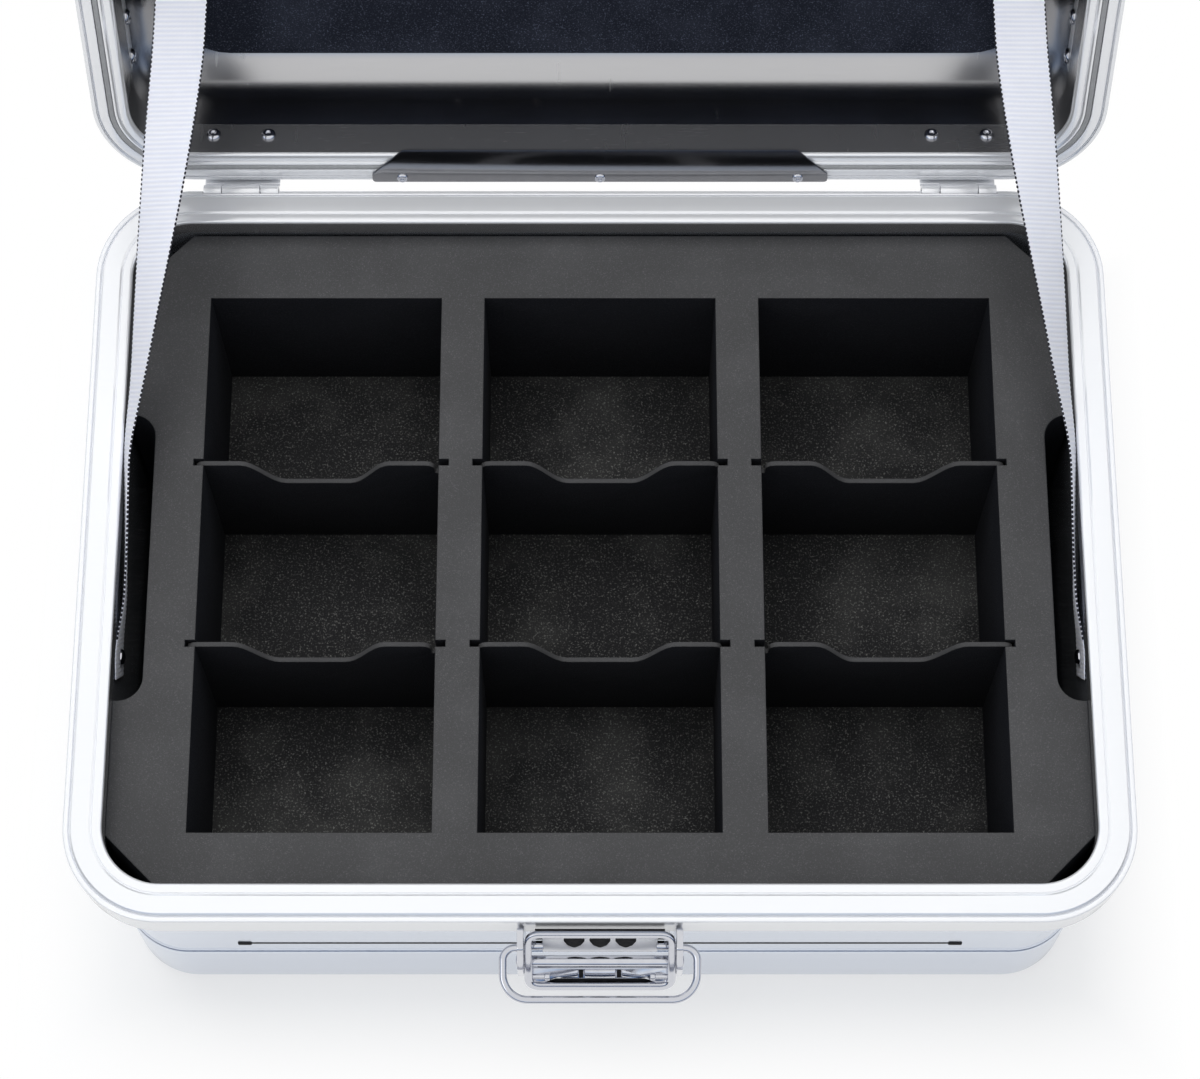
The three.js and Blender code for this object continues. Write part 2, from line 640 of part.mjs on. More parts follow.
function guardPlate() {
  const half = GUARD_LENGTH / 2;
  const front = GUARD_Y - GUARD_DEPTH;
  const outline = [
    [-half, GUARD_Y],
    [-half, front + GUARD_CHAMFER],
    [-half + GUARD_CHAMFER, front],
    [half - GUARD_CHAMFER, front],
    [half, front + GUARD_CHAMFER],
    [half, GUARD_Y],
  ];
  const shape = new THREE.Shape(outline.map(([x, y]) => new THREE.Vector2(x, y)));
  const plate = new THREE.ExtrudeGeometry(shape, { depth: GUARD_SHEET, bevelEnabled: false });
  const holes = GUARD_SCREW_X.map((x) =>
    rod("z", GUARD_SCREW_SHANK + CLEAR, 2 * OVERRUN, [x, GUARD_SCREW_Y, GUARD_TOP], RIVET_SIDES),
  );
  return cut(plate.translate(0, 0, GUARD_TOP - GUARD_SHEET), ...holes);
}

function guardScrew(x) {
  const seat = GUARD_TOP - GUARD_SHEET;
  const rise = GUARD_SCREW_RISE - CLEAR;
  const headAt = [x, GUARD_SCREW_Y, seat - CLEAR - rise / 2];
  const shankAt = [x, GUARD_SCREW_Y, seat + GUARD_SCREW_LENGTH / 2 - CLEAR];
  const head = rod("z", GUARD_SCREW_HEAD, rise, headAt, RIVET_SIDES);
  return join(head, rod("z", GUARD_SCREW_SHANK, GUARD_SCREW_LENGTH, shankAt, RIVET_SIDES));
}

// A bracket for a stay: a flange on the side wall and a toe that the webbing is riveted to.
const STAY_SEAT_MIDDLE = STAY_TOP_REACH + STAY_SEAT / 2;
function stayBracket(side) {
  const low = LID_FACE + BRACKET_RISE;
  const wall = WALL_X - WALL - CLEAR;
  const end = STAY_TOP_REACH + STAY_SEAT + BRACKET_MARGIN;
  const toeX = STAY_TOP_X - STAY_WIDTH / 2 - BRACKET_MARGIN;
  const span = (from, to) => (side < 0 ? [-to, -from] : [from, to]);
  const [flangeLow, flangeHigh] = span(wall - BRACKET_SHEET, wall);
  const [toeLow, toeHigh] = span(toeX, wall);
  const flange = block([flangeLow, reach(end), low], [flangeHigh, reach(BRACKET_START), low + BRACKET_FLANGE]);
  const toeEnd = reach(STAY_TOP_REACH - BRACKET_MARGIN);
  const toe = block([toeLow, reach(end), low], [toeHigh, toeEnd, low + BRACKET_SHEET]);
  const holes = BRACKET_RIVETS.map((distance) => drillAt("x", bracketRivetAt(side, distance, wall)));
  holes.push(drillAt("z", [side * STAY_TOP_X, reach(STAY_SEAT_MIDDLE), low]));
  return cut(join(flange, toe), ...holes);
}

// The catch: bent over the front of the lid's rim, with a lip for the bail.
function latchCatch() {
  const skirt = LID_FACE + RIM_BODY + CLEAR;
  const wall = -WALL_Y - CLEAR;
  const inner = -HALF_DEPTH - CATCH_GAP;
  const outer = inner - CATCH_SHEET;
  const outline = [
    [wall, skirt],
    [wall, LID_FACE + CATCH_REACH],
    [wall - CATCH_SHEET, LID_FACE + CATCH_REACH],
    [wall - CATCH_SHEET, skirt + CATCH_SHEET],
    [outer, skirt + CATCH_SHEET],
    [outer, LID_FACE + CATCH_LIP],
    [-HALF_DEPTH - CATCH_NOSE, LID_FACE + CATCH_LIP],
    [-HALF_DEPTH - CATCH_NOSE, LID_FACE],
    [inner, LID_FACE],
    [inner, skirt],
  ].reverse();
  const rivetZ = LID_FACE + CATCH_RIVET_RISE;
  const holes = sides.map((end) => drillAt("y", [(end * CATCH_RIVET_GAP) / 2, wall, rivetZ]));
  return cut(acrossX(outline, 0, CATCH_WIDTH), ...holes);
}

const lidFoamTop = LID_TOP - WALL - CLEAR;
add(lid, "lid_shell", lidShell(), ALUMINIUM);
add(lid, "lid_rim", lidRim(), ALUMINIUM);
add(lid, "lid_seal", sealRing(0, 0), RUBBER);
add(lid, "lid_foam", foamSlab(LID_FOAM_INSET, lidFoamTop - LID_FOAM, lidFoamTop, LID_FOAM_CORNER), FOAM_DARK);
add(lid, "hinge_guard_plate", guardPlate(), STEEL);
GUARD_SCREW_X.forEach((x, i) => add(lid, `guard_screw_${i + 1}`, guardScrew(x), STEEL));
add(lid, "latch_catch", latchCatch(), STEEL);
sides.forEach((end, i) => {
  const at = [(end * CATCH_RIVET_GAP) / 2, -WALL_Y - CLEAR - CATCH_SHEET, LID_FACE + CATCH_RIVET_RISE];
  add(lid, `catch_rivet_${i + 1}`, rivet(at, [0, -1, 0], CATCH_SHEET + CLEAR + WALL), STEEL);
});
for (const side of sides) {
  const name = sideName(side);
  const rivetHeight = LID_FACE + LID_RIVET_RISE;
  const hingeGrip = RIM_WIDTH - WALL_INSET + CLEAR + LEAF;
  add(lid, `hinge_leaf_lid_${name}`, hingeLeaf(side, LID_FACE, 1, true, rivetHeight), ALUMINIUM);
  sides.forEach((end, i) => {
    const at = [hingeRivetX(side, end), HALF_DEPTH - RIM_WIDTH, rivetHeight];
    add(lid, `lid_hinge_rivet_${name}_${i + 1}`, rivet(at, [0, -1, 0], hingeGrip), STEEL);
  });
  add(lid, `stay_bracket_${name}`, stayBracket(side), ALUMINIUM);
  BRACKET_RIVETS.forEach((distance, i) => {
    const at = bracketRivetAt(side, distance, WALL_X - WALL - CLEAR - BRACKET_SHEET);
    add(lid, `bracket_rivet_${name}_${i + 1}`, rivet(at, [-side, 0, 0], BRACKET_SHEET + CLEAR + WALL), STEEL);
  });
  const seat = [side * STAY_TOP_X, reach(STAY_SEAT_MIDDLE), LID_FACE + BRACKET_RISE - CLEAR - STAY_SHEET];
  add(lid, `stay_top_rivet_${name}`, rivet(seat, [0, 0, -1], STAY_SHEET + CLEAR + BRACKET_SHEET), STEEL);
}

// Lid stays: webbing that lies flat on the base's side wall, turns a quarter on its way up
// and is riveted to its bracket.
const OPEN = THREE.MathUtils.degToRad(LID_ANGLE);
const STAY_LIFT = 18; // run in which the webbing comes off the wall, past its screw
const STAY_FREE_X = HALF_WIDTH - STAY_INSET;
const STAY_FREE = 80; // from the lower screw to where the webbing starts to slant inwards
const TWIST_START = 109;
const TWIST_END = 350;

// A place in the shut lid, as [y, z], moved to where it is with the lid open.
function opened(y, z) {
  const dy = y - HINGE_Y;
  const dz = z - HINGE_Z;
  const [cos, sin] = [Math.cos(OPEN), Math.sin(OPEN)];
  return [HINGE_Y + dy * cos + dz * sin, HINGE_Z - dy * sin + dz * cos];
}

function stay(side) {
  const seatZ = LID_FACE + BRACKET_RISE - CLEAR - STAY_SHEET / 2;
  const [startY, startZ] = [-STAY_ANCHOR_FORWARD, BASE_HEIGHT - STAY_ANCHOR_DROP];
  const [topY, topZ] = opened(reach(STAY_TOP_REACH), seatZ);
  const [endY, endZ] = opened(reach(STAY_TOP_REACH + STAY_SEAT), seatZ);
  const length = Math.hypot(topY - startY, topZ - startZ);
  const run = [(topY - startY) / length, (topZ - startZ) / length];
  const seatRun = [(endY - topY) / STAY_SEAT, (endZ - topZ) / STAY_SEAT];
  const wallX = WALL_X - WALL - CLEAR - STAY_SHEET / 2;
  const liftStart = STAY_LIFT / 2;
  const mix = (from, to, share) => from + (to - from) * Math.min(1, Math.max(0, share));
  const middleX = (s) =>
    s < STAY_FREE
      ? mix(wallX, STAY_FREE_X, (s - liftStart) / STAY_LIFT)
      : mix(STAY_FREE_X, STAY_TOP_X, (s - STAY_FREE) / (length - STAY_FREE));
  const row = (s, y, z, direction) => {
    const twist = (mix(0, 1, (s - TWIST_START) / (TWIST_END - TWIST_START)) * Math.PI) / 2;
    const across = [-Math.sin(twist), -Math.cos(twist) * direction[1], Math.cos(twist) * direction[0]];
    const through = [Math.cos(twist), -Math.sin(twist) * direction[1], Math.sin(twist) * direction[0]];
    const corners = [[-1, -1], [1, -1], [1, 1], [-1, 1]];
    return corners.map(([u, v]) =>
      [middleX(s), y, z].map((value, k) => {
        const moved = value + (u * across[k] * STAY_WIDTH) / 2 + (v * through[k] * STAY_SHEET) / 2;
        return k === 0 ? side * moved : moved;
      }),
    );
  };
  const rows = [];
  const total = length + STAY_TAIL;
  for (let step = 0; step < STAY_STEPS; step++) {
    const s = -STAY_TAIL + (total * step) / STAY_STEPS;
    rows.push(row(s, startY + run[0] * s, startZ + run[1] * s, run));
  }
  const halfway = [run[0] + seatRun[0], run[1] + seatRun[1]];
  const turn = Math.hypot(...halfway);
  rows.push(row(length, topY, topZ, [halfway[0] / turn, halfway[1] / turn]));
  rows.push(row(length + STAY_SEAT, endY, endZ, seatRun));
  const lower = drillAt("x", [side * WALL_X, startY, startZ]);
  const [holeY, holeZ] = opened(reach(STAY_SEAT_MIDDLE), seatZ);
  const upper = rod("z", RIVET_SHANK + CLEAR, 2 * OVERRUN, [0, 0, 0], RIVET_SIDES).rotateX(-OPEN);
  return cut(skin(rows, true), lower, upper.translate(side * STAY_TOP_X, holeY, holeZ));
}

for (const side of sides) {
  const name = sideName(side);
  const x = WALL_X - WALL - CLEAR - STAY_SHEET;
  const seat = [side * x, -STAY_ANCHOR_FORWARD, BASE_HEIGHT - STAY_ANCHOR_DROP];
  add(base, `lid_stay_${name}`, stay(side), WEBBING);
  add(base, `stay_screw_${name}`, rivet(seat, [-side, 0, 0], STAY_SHEET + CLEAR + WALL), STEEL);
}

// Latch: a bracket with two cheeks, a lever on its pivot bar and a wire bail.
const EDGE = -HALF_DEPTH; // the rims' front edge
const PIVOT = [0, EDGE - PIVOT_OUT, BASE_HEIGHT - PIVOT_DROP];
const BAIL_PIVOT = [0, EDGE - BAIL_OUT, BASE_HEIGHT - BAIL_DROP];
const cheekX = LATCH_WIDTH / 2 - CHEEK / 2;

function latchBracket() {
  const back = -WALL_Y - CLEAR;
  const under = BASE_HEIGHT - BASE_SKIRT - CLEAR;
  const low = BASE_HEIGHT - LATCH_DROP;
  const outline = [
    [back, low],
    [back, under],
    [EDGE - CHEEK_STEP, under],
    [EDGE - CHEEK_STEP, BASE_HEIGHT - CHEEK_TOP],
    [EDGE - CHEEK_BROW, BASE_HEIGHT - CHEEK_TOP],
    ...CHEEK_NOSE_DROPS.map((drop) => [EDGE - CHEEK_NOSE, BASE_HEIGHT - drop]),
    [EDGE + CHEEK_TAIL, low],
  ];
  const cheeks = sides.map((side) => acrossX(outline, side * cheekX, CHEEK));
  const plate = block([-LATCH_WIDTH / 2, back - LATCH_PLATE, low], [LATCH_WIDTH / 2, back, under]);
  const holes = [
    rod("x", PIVOT_RADIUS + CLEAR, 2 * LATCH_WIDTH, PIVOT),
    rod("x", BAIL_RADIUS + CLEAR, 2 * LATCH_WIDTH, BAIL_PIVOT),
  ];
  for (const side of sides) {
    for (const drop of LATCH_RIVET_DROPS) {
      holes.push(drillAt("y", [(side * LATCH_RIVET_GAP) / 2, back, BASE_HEIGHT - drop], 2 * OVERRUN));
    }
  }
  return cut(join(plate, ...cheeks), ...holes);
}

// The lever: an upright plate with three finger holes, two bent arms, a pressed web and a bar.
function latchLever() {
  const armX = LATCH_WIDTH / 2 - CHEEK - LEVER_ARM_GAP - LEVER_ARM / 2;
  const half = armX + LEVER_ARM / 2;
  const back = EDGE - LEVER_OUT;
  const top = BASE_HEIGHT - LEVER_TOP_DROP;
  const [, pivotY, pivotZ] = PIVOT;
  const boss = PIVOT_RADIUS + LEVER_ARM;
  const bar = [0, pivotY - LEVER_BAR_OUT, pivotZ - LEVER_BAR_OUT];
  const outline = [
    [back, top],
    [back, top - LEVER_PLATE_HEIGHT],
    [pivotY + boss / 2, pivotZ - boss],
    [bar[1] + LEVER_BAR_RADIUS, bar[2] - LEVER_BAR_RADIUS],
    [bar[1] - LEVER_BAR_RADIUS, bar[2]],
    [pivotY - boss, pivotZ + LEVER_BAR_RADIUS],
    [back - boss, top - boss * 2],
    [back - LEVER_ARM, top],
  ];
  const arms = sides.map((side) => acrossX(outline, side * armX, LEVER_ARM));
  const plate = block([-half, back - LEVER_PLATE, top - LEVER_PLATE_HEIGHT], [half, back, top]);
  const rail = rod("x", LEVER_BAR_RADIUS, 2 * half - LEVER_ARM, bar);
  const slope = Math.SQRT1_2;
  const near = boss * slope;
  const across = (LEVER_WEB * slope) / 2;
  const webOutline = [
    [pivotY - near + across, pivotZ - near - across],
    [bar[1] + across, bar[2] - across],
    [bar[1] - across, bar[2] + across],
    [pivotY - near - across, pivotZ - near + across],
  ];
  const web = acrossX(webOutline.reverse(), 0, LEVER_WEB_WIDTH);
  const [, barY, barZ] = bar;
  const stubs = sides.map((side) => {
    const at = [side * (armX - STUB_LENGTH / 2), barY + STUB_OUT, barZ + STUB_OUT];
    return rod("x", STUB_RADIUS, STUB_LENGTH, at, RIVET_SIDES);
  });
  const slotY = pivotY - (near + LEVER_BAR_OUT) / 2;
  const slotZ = pivotZ - (near + LEVER_BAR_OUT) / 2;
  const slots = sides.map((side) => {
    const low = [(side * LEVER_SLOT_GAP) / 2 - LEVER_SLOT / 2, slotY - LEVER_WEB, slotZ - LEVER_WEB];
    return block(low, [low[0] + LEVER_SLOT, slotY + LEVER_WEB, slotZ + LEVER_WEB]);
  });
  const holes = [-1, 0, 1].map((place) =>
    rod("y", LEVER_HOLE_RADIUS, 2 * OVERRUN, [place * LEVER_HOLE_GAP, back, BASE_HEIGHT - LEVER_HOLE_DROP]),
  );
  holes.push(rod("x", PIVOT_RADIUS + CLEAR, LATCH_WIDTH, PIVOT));
  return cut(join(plate, ...arms, rail, web, ...stubs), ...holes, ...slots);
}

// A round wire along points of one plane, given as [x, s] with s along the direction d from a pivot.
function wire(points, radius, pivot, d, count = 8) {
  const rows = points.map(([x, s], i) => {
    const [ax, as] = points[Math.max(0, i - 1)];
    const [bx, bs] = points[Math.min(points.length - 1, i + 1)];
    const size = Math.hypot(bx - ax, bs - as);
    const [nx, ns] = [-(bs - as) / size, (bx - ax) / size];
    const ring = [];
    for (let k = 0; k < count; k++) {
      const angle = (2 * Math.PI * k) / count;
      const inPlane = radius * Math.cos(angle);
      const out = radius * Math.sin(angle);
      const along = s + ns * inPlane;
      const y = pivot[1] + along * d[0] - out * d[1];
      const z = pivot[2] + along * d[1] + out * d[0];
      ring.push([pivot[0] + x + nx * inPlane, y, z]);
    }
    return ring;
  });
  return skin(rows, true);
}

function latchBail() {
  const half = BAIL_WIDTH / 2;
  const end = LATCH_WIDTH / 2 - BAIL_END;
  const right = [
    [end, 0],
    ...arc(half - BAIL_BEND, BAIL_BEND, BAIL_BEND, 270, 360, 5),
    ...arc(half - BAIL_CORNER, BAIL_REACH - BAIL_CORNER, BAIL_CORNER, 0, 90, 7),
  ];
  const left = right.map(([x, s]) => [-x, s]).reverse();
  const tilt = THREE.MathUtils.degToRad(BAIL_TILT);
  return wire([...right, ...left], BAIL_RADIUS, BAIL_PIVOT, [-Math.cos(tilt), -Math.sin(tilt)]);
}

add(base, "latch_bracket", latchBracket(), STEEL);
add(base, "latch_pivot_bar", rod("x", PIVOT_RADIUS, LATCH_WIDTH + CHEEK / 2, PIVOT), STEEL);
LATCH_RIVET_DROPS.forEach((drop, row) => {
  for (const side of sides) {
    const at = [(side * LATCH_RIVET_GAP) / 2, -WALL_Y - CLEAR - LATCH_PLATE, BASE_HEIGHT - drop];
    const name = `latch_rivet_${sideName(side)}_${row + 1}`;
    add(base, name, rivet(at, [0, -1, 0], LATCH_PLATE + CLEAR + WALL), STEEL);
  }
});
add(lever, "latch_lever", latchLever(), STEEL);
add(bail, "latch_bail", latchBail(), STEEL);

// The lid's pieces hang in a group on the hinge pins, turned open.
const lidPlace = new THREE.Group();
lidPlace.position.set(0, -HINGE_Y, -HINGE_Z);
lidPlace.add(lid);
const lidHinge = new THREE.Group();
lidHinge.position.set(0, HINGE_Y, HINGE_Z);
lidHinge.rotation.x = -OPEN;
lidHinge.add(lidPlace);

const transportCase = new THREE.Group();
transportCase.add(base, lidHinge, lever, bail);
export default transportCase;
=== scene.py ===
"""An open aluminium transport case: foam insert with compartments, webbing lid stays, hinges and a latch.
Sizes are millimetres unless a comment says metres. +Z is up, the latch faces -Y, the floor is at z = 0."""
import math

import bmesh
import bpy
import numpy as np
from mathutils import Matrix, Vector


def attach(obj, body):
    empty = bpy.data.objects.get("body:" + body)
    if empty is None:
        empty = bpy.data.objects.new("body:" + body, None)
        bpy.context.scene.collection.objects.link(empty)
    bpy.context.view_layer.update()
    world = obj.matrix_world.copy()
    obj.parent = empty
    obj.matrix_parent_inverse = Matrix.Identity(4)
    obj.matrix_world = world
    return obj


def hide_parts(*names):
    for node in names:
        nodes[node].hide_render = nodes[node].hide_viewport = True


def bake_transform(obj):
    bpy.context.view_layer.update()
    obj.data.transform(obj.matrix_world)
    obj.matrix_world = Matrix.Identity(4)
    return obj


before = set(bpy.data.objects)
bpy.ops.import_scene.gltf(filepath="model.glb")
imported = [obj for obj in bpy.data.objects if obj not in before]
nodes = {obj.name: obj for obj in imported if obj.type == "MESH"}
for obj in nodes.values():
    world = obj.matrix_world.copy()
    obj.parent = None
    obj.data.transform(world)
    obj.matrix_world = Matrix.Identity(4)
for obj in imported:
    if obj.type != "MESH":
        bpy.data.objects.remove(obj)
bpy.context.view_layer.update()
MM = 0.001
TURN = 2 * math.pi
EAST, NORTH, WEST, SOUTH, ALL_ROUND = 0, 90, 180, 270, 360  # degrees, for arcs

# Main sizes
HALF_WIDTH, HALF_DEPTH, BASE_HEIGHT = 300, 225, 205
LID_FACE, LID_TOP, LID_ANGLE = 208.2, 288.2, 110
CORNER_RADIUS = 56
HINGE_Y, HINGE_Z = 226, 201
WALL, WALL_INSET, CLEAR = 2, 17, 0.3
EDGE_Y = -HALF_DEPTH  # the rims' front edge


def linked(name, data):
    """A new object of the data, in the scene."""
    thing = bpy.data.objects.new(name, data)
    bpy.context.scene.collection.objects.link(thing)
    return thing


# Camera, at the photograph's place and angle
def place_camera():
    sensor, lens, pitch = 36.0, 95.82, 69.33
    away, height, nearest, farthest = 0.6494, 1.9268, 0.05, 50  # metres
    data = bpy.data.cameras.new("camera")
    data.sensor_fit, data.sensor_width, data.lens = "HORIZONTAL", sensor, lens
    data.clip_start, data.clip_end = nearest, farthest
    camera = linked("camera", data)
    camera.location = (0, -away, height)
    camera.rotation_euler = (TURN / 4 - math.radians(pitch), 0, 0)
    bpy.context.scene.camera = camera


place_camera()
bpy.context.scene.view_settings.view_transform = "Standard"


# Node helpers. What they are given is plain, or a socket to link.
def new_group(name, inputs, outputs):
    """A shader group with named sockets: its tree, the sockets it is given and the sockets it fills."""
    tree = bpy.data.node_groups.new(name, "ShaderNodeTree")
    kinds = {3: "NodeSocketVector", 4: "NodeSocketColor"}
    for label, value in inputs.items():
        kind = "NodeSocketFloat" if isinstance(value, float) else kinds[len(value)]
        tree.interface.new_socket(label, in_out="INPUT", socket_type=kind).default_value = value
    for label, kind in outputs.items():
        tree.interface.new_socket(label, in_out="OUTPUT", socket_type=f"NodeSocket{kind}")
    return tree, tree.nodes.new("NodeGroupInput").outputs, tree.nodes.new("NodeGroupOutput").inputs


def plug(tree, value, socket):
    if isinstance(value, bpy.types.NodeSocket):
        tree.links.new(value, socket)
    else:
        socket.default_value = value


def fill(tree, inputs, values):
    """Plugs values into inputs by their names or places."""
    for name, value in dict(values).items():
        plug(tree, value, inputs[name])


def put(tree, kind, values=(), **settings):
    """The outputs of a new node with some values and settings."""
    node = tree.nodes.new(kind)
    for name, value in settings.items():
        setattr(node, name, value)
    fill(tree, node.inputs, values)
    return node.outputs


def calc(tree, operation, *values, clamp=False):
    return put(tree, "ShaderNodeMath", enumerate(values), operation=operation, use_clamp=clamp)[0]


def plus(tree, a, b, clamp=False):
    return calc(tree, "ADD", a, b, clamp=clamp)


def minus(tree, a, b):
    return calc(tree, "SUBTRACT", a, b)


def times(tree, a, b):
    return calc(tree, "MULTIPLY", a, b)


def noise(tree, vector, scale=1.0, detail=3.0, roughness=0.5):
    values = {"Vector": vector, "Scale": scale, "Detail": detail, "Roughness": roughness}
    return put(tree, "ShaderNodeTexNoise", values)["Fac"]


def stretch(tree, vector, scale):
    return put(tree, "ShaderNodeVectorMath", enumerate((vector, scale)), operation="MULTIPLY")[0]


def mapped(tree, value, start, end, low=0.0, high=1.0):
    """Low up to start, high from end, and even steps between."""
    return put(tree, "ShaderNodeMapRange", enumerate((value, start, end, low, high)))[0]


def blend_colours(tree, factor, a, b):
    first, second, blended = 6, 7, 2
    return put(tree, "ShaderNodeMix", {0: factor, first: a, second: b}, data_type="RGBA")[blended]


def split_axes(tree, vector):
    return put(tree, "ShaderNodeSeparateXYZ", {0: vector})


def sheet_metal_group():
    """Satin sheet: fine drawn grain along one direction, cloudy handling marks and a few hair scratches."""
    tree, given, filled = new_group(
        "Drawn Sheet",
        {"Vector": (0, 0, 0), "Grain": (30, 900, 900), "Roughness": 0.25, "Spread": 0.08,
         "Light": (0.8, 0.8, 0.8, 1), "Dark": (0.7, 0.7, 0.7, 1)},
        {"Color": "Color", "Roughness": "Float", "Height": "Float"})
    grain_share, cloud_share, middle, both_ways = 0.5, 0.5, 0.5, 2.0
    scratch_run, scratch_gloss, scratch_depth = (220.0, 14.0, 60.0), 0.06, 0.5
    place = given["Vector"]
    grain = noise(tree, stretch(tree, place, given["Grain"]), detail=2.0)
    cloud = noise(tree, place, scale=9.0, detail=4.0, roughness=0.6)
    scratch = mapped(tree, noise(tree, stretch(tree, place, scratch_run), detail=1.0), start=0.72, end=0.76)
    mixed = plus(tree, times(tree, grain, grain_share), times(tree, cloud, cloud_share))
    plug(tree, blend_colours(tree, mixed, given["Dark"], given["Light"]), filled["Color"])
    swing = times(tree, minus(tree, mixed, middle), given["Spread"])
    rough = plus(tree, given["Roughness"], times(tree, swing, both_ways))
    plug(tree, plus(tree, rough, times(tree, scratch, scratch_gloss), clamp=True), filled["Roughness"])
    plug(tree, minus(tree, grain, times(tree, scratch, scratch_depth)), filled["Height"])
    return tree


def edge_wear_group():
    """Where an outer edge is rubbed, as a mask from the surface's pointiness."""
    tree, given, filled = new_group("Edge Rub", {"Vector": (0, 0, 0), "Amount": 0.5}, {"Mask": "Float"})
    sharp = mapped(tree, put(tree, "ShaderNodeNewGeometry")["Pointiness"], start=0.52, end=0.6)
    broken = mapped(tree, noise(tree, given["Vector"], scale=140.0, detail=4.0), start=0.35, end=0.6)
    plug(tree, times(tree, times(tree, sharp, broken), given["Amount"]), filled["Mask"])
    return tree


def foam_group():
    """Closed-cell foam: small pores, paler specks where a cut cell catches the light, and soft clouding."""
    tree, given, filled = new_group(
        "Cut Foam",
        {"Vector": (0, 0, 0), "Cell": 900.0, "Speck": 0.5, "Base": (0.03, 0.03, 0.03, 1),
         "Pale": (0.1, 0.1, 0.1, 1)},
        {"Color": "Color", "Height": "Float", "Roughness": "Float"})
    finer, cloud_middle, cloud_share, pore_share, fine_share = 1.3, 0.45, 0.35, 0.8, 0.6
    place = given["Vector"]
    cells = put(tree, "ShaderNodeTexVoronoi", {"Vector": place, "Scale": given["Cell"]})["Distance"]
    fine = noise(tree, place, scale=times(tree, given["Cell"], finer), detail=2.0, roughness=0.7)
    cloud = minus(tree, noise(tree, place, scale=22.0), cloud_middle)
    specks = times(tree, mapped(tree, fine, start=0.56, end=0.74), given["Speck"])
    amount = plus(tree, specks, times(tree, cloud, cloud_share), clamp=True)
    plug(tree, blend_colours(tree, amount, given["Base"], given["Pale"]), filled["Color"])
    plug(tree, plus(tree, times(tree, cells, pore_share), times(tree, fine, fine_share)), filled["Height"])
    plug(tree, mapped(tree, fine, start=0.3, end=0.7, low=0.98, high=0.78), filled["Roughness"])
    return tree


def webbing_group():
    """Woven webbing on its own map: U runs across in metres, V along. Fine yarns cross the ribs. The colour
    is painted lighter on the crests of the ribs and yarns and darker between them: painted shade, over a
    random clouding.
    """
    tree, given, filled = new_group(
        "Woven Webbing",
        {"Vector": (0, 0, 0), "Place": (0, 0, 0), "Rib": 0.0027, "Yarn": 0.00075,
         "Light": (0.9, 0.9, 0.95, 1), "Shade": (0.7, 0.7, 0.8, 1)},
        {"Color": "Color", "Height": "Float"})
    yarn_slant, rib_light, yarn_light, cloud_light, even_share, half = 0.35, 0.62, 0.18, 0.3, 0.5, 0.5
    across, along, _ = split_axes(tree, given["Vector"])

    def wave(value, pitch):
        turns = times(tree, calc(tree, "DIVIDE", value, pitch), TURN)
        return calc(tree, "MULTIPLY_ADD", calc(tree, "COSINE", turns), half, half)

    rib = wave(along, given["Rib"])
    yarn = wave(plus(tree, across, times(tree, along, yarn_slant)), given["Yarn"])
    cloud = noise(tree, given["Place"], scale=60.0, detail=4.0)
    # Painted shade: lighter crests and darker grooves of the ribs and yarns.
    lit = plus(tree, times(tree, rib, rib_light), times(tree, yarn, yarn_light))
    lit = plus(tree, lit, times(tree, cloud, cloud_light), clamp=True)
    plug(tree, blend_colours(tree, lit, given["Shade"], given["Light"]), filled["Color"])
    plug(tree, plus(tree, times(tree, rib, even_share), times(tree, yarn, even_share)), filled["Height"])
    return tree


SHEET_METAL = sheet_metal_group()
EDGE_RUB = edge_wear_group()
CUT_FOAM = foam_group()
WOVEN = webbing_group()


def new_material(name):
    """A material: it, its tree and its shader."""
    material = bpy.data.materials.new(name)
    material.use_nodes = True
    return material, material.node_tree, material.node_tree.nodes["Principled BSDF"]


def place_of(tree, output="Object"):
    return put(tree, "ShaderNodeTexCoord")[output]


def put_group(tree, group, **values):
    return put(tree, "ShaderNodeGroup", values, node_tree=group)


def bump(tree, height, strength, distance):
    return put(tree, "ShaderNodeBump", {"Strength": strength, "Distance": distance, "Height": height})[0]


# Finishes: metals, foams, webbing and rubber. Depths of the bumps are metres.
GRAIN_RUN, RUBBED = (40.0, 2400.0, 2400.0), (0.97, 0.975, 0.98, 1)


def metal(name, light, dark, roughness, spread=0.05, rub=0.3, depth=0.000006, metallic=1.0, strength=0.2):
    material, tree, shader = new_material(name)
    place = place_of(tree)
    sheet = put_group(tree, SHEET_METAL, Vector=place, Grain=GRAIN_RUN, Roughness=roughness, Spread=spread,
                      Light=(*light, 1), Dark=(*dark, 1))
    worn = put_group(tree, EDGE_RUB, Vector=place, Amount=rub)
    fill(tree, shader.inputs, {
        "Base Color": blend_colours(tree, worn["Mask"], sheet["Color"], RUBBED), "Metallic": metallic,
        "Roughness": sheet["Roughness"], "Normal": bump(tree, sheet["Height"], strength, depth)})
    return material


def foam(name, base, pale, cell, speck, gloss=0.25, depth=0.0003, strength=0.6):
    material, tree, shader = new_material(name)
    cut = put_group(tree, CUT_FOAM, Vector=place_of(tree), Cell=cell, Speck=speck, Base=(*base, 1),
                    Pale=(*pale, 1))
    fill(tree, shader.inputs, {
        "Base Color": cut["Color"], "Roughness": cut["Roughness"], "Specular IOR Level": gloss,
        "Normal": bump(tree, cut["Height"], strength, depth)})
    return material


def webbing(name, light, shade, roughness=0.75, sheen=0.15, depth=0.0002, strength=0.5):
    material, tree, shader = new_material(name)
    weave = put_group(tree, WOVEN, Vector=place_of(tree, "UV"), Place=place_of(tree), Light=(*light, 1),
                      Shade=(*shade, 1))
    fill(tree, shader.inputs, {"Base Color": weave["Color"], "Roughness": roughness, "Sheen Weight": sheen,
                               "Normal": bump(tree, weave["Height"], strength, depth)})
    return material


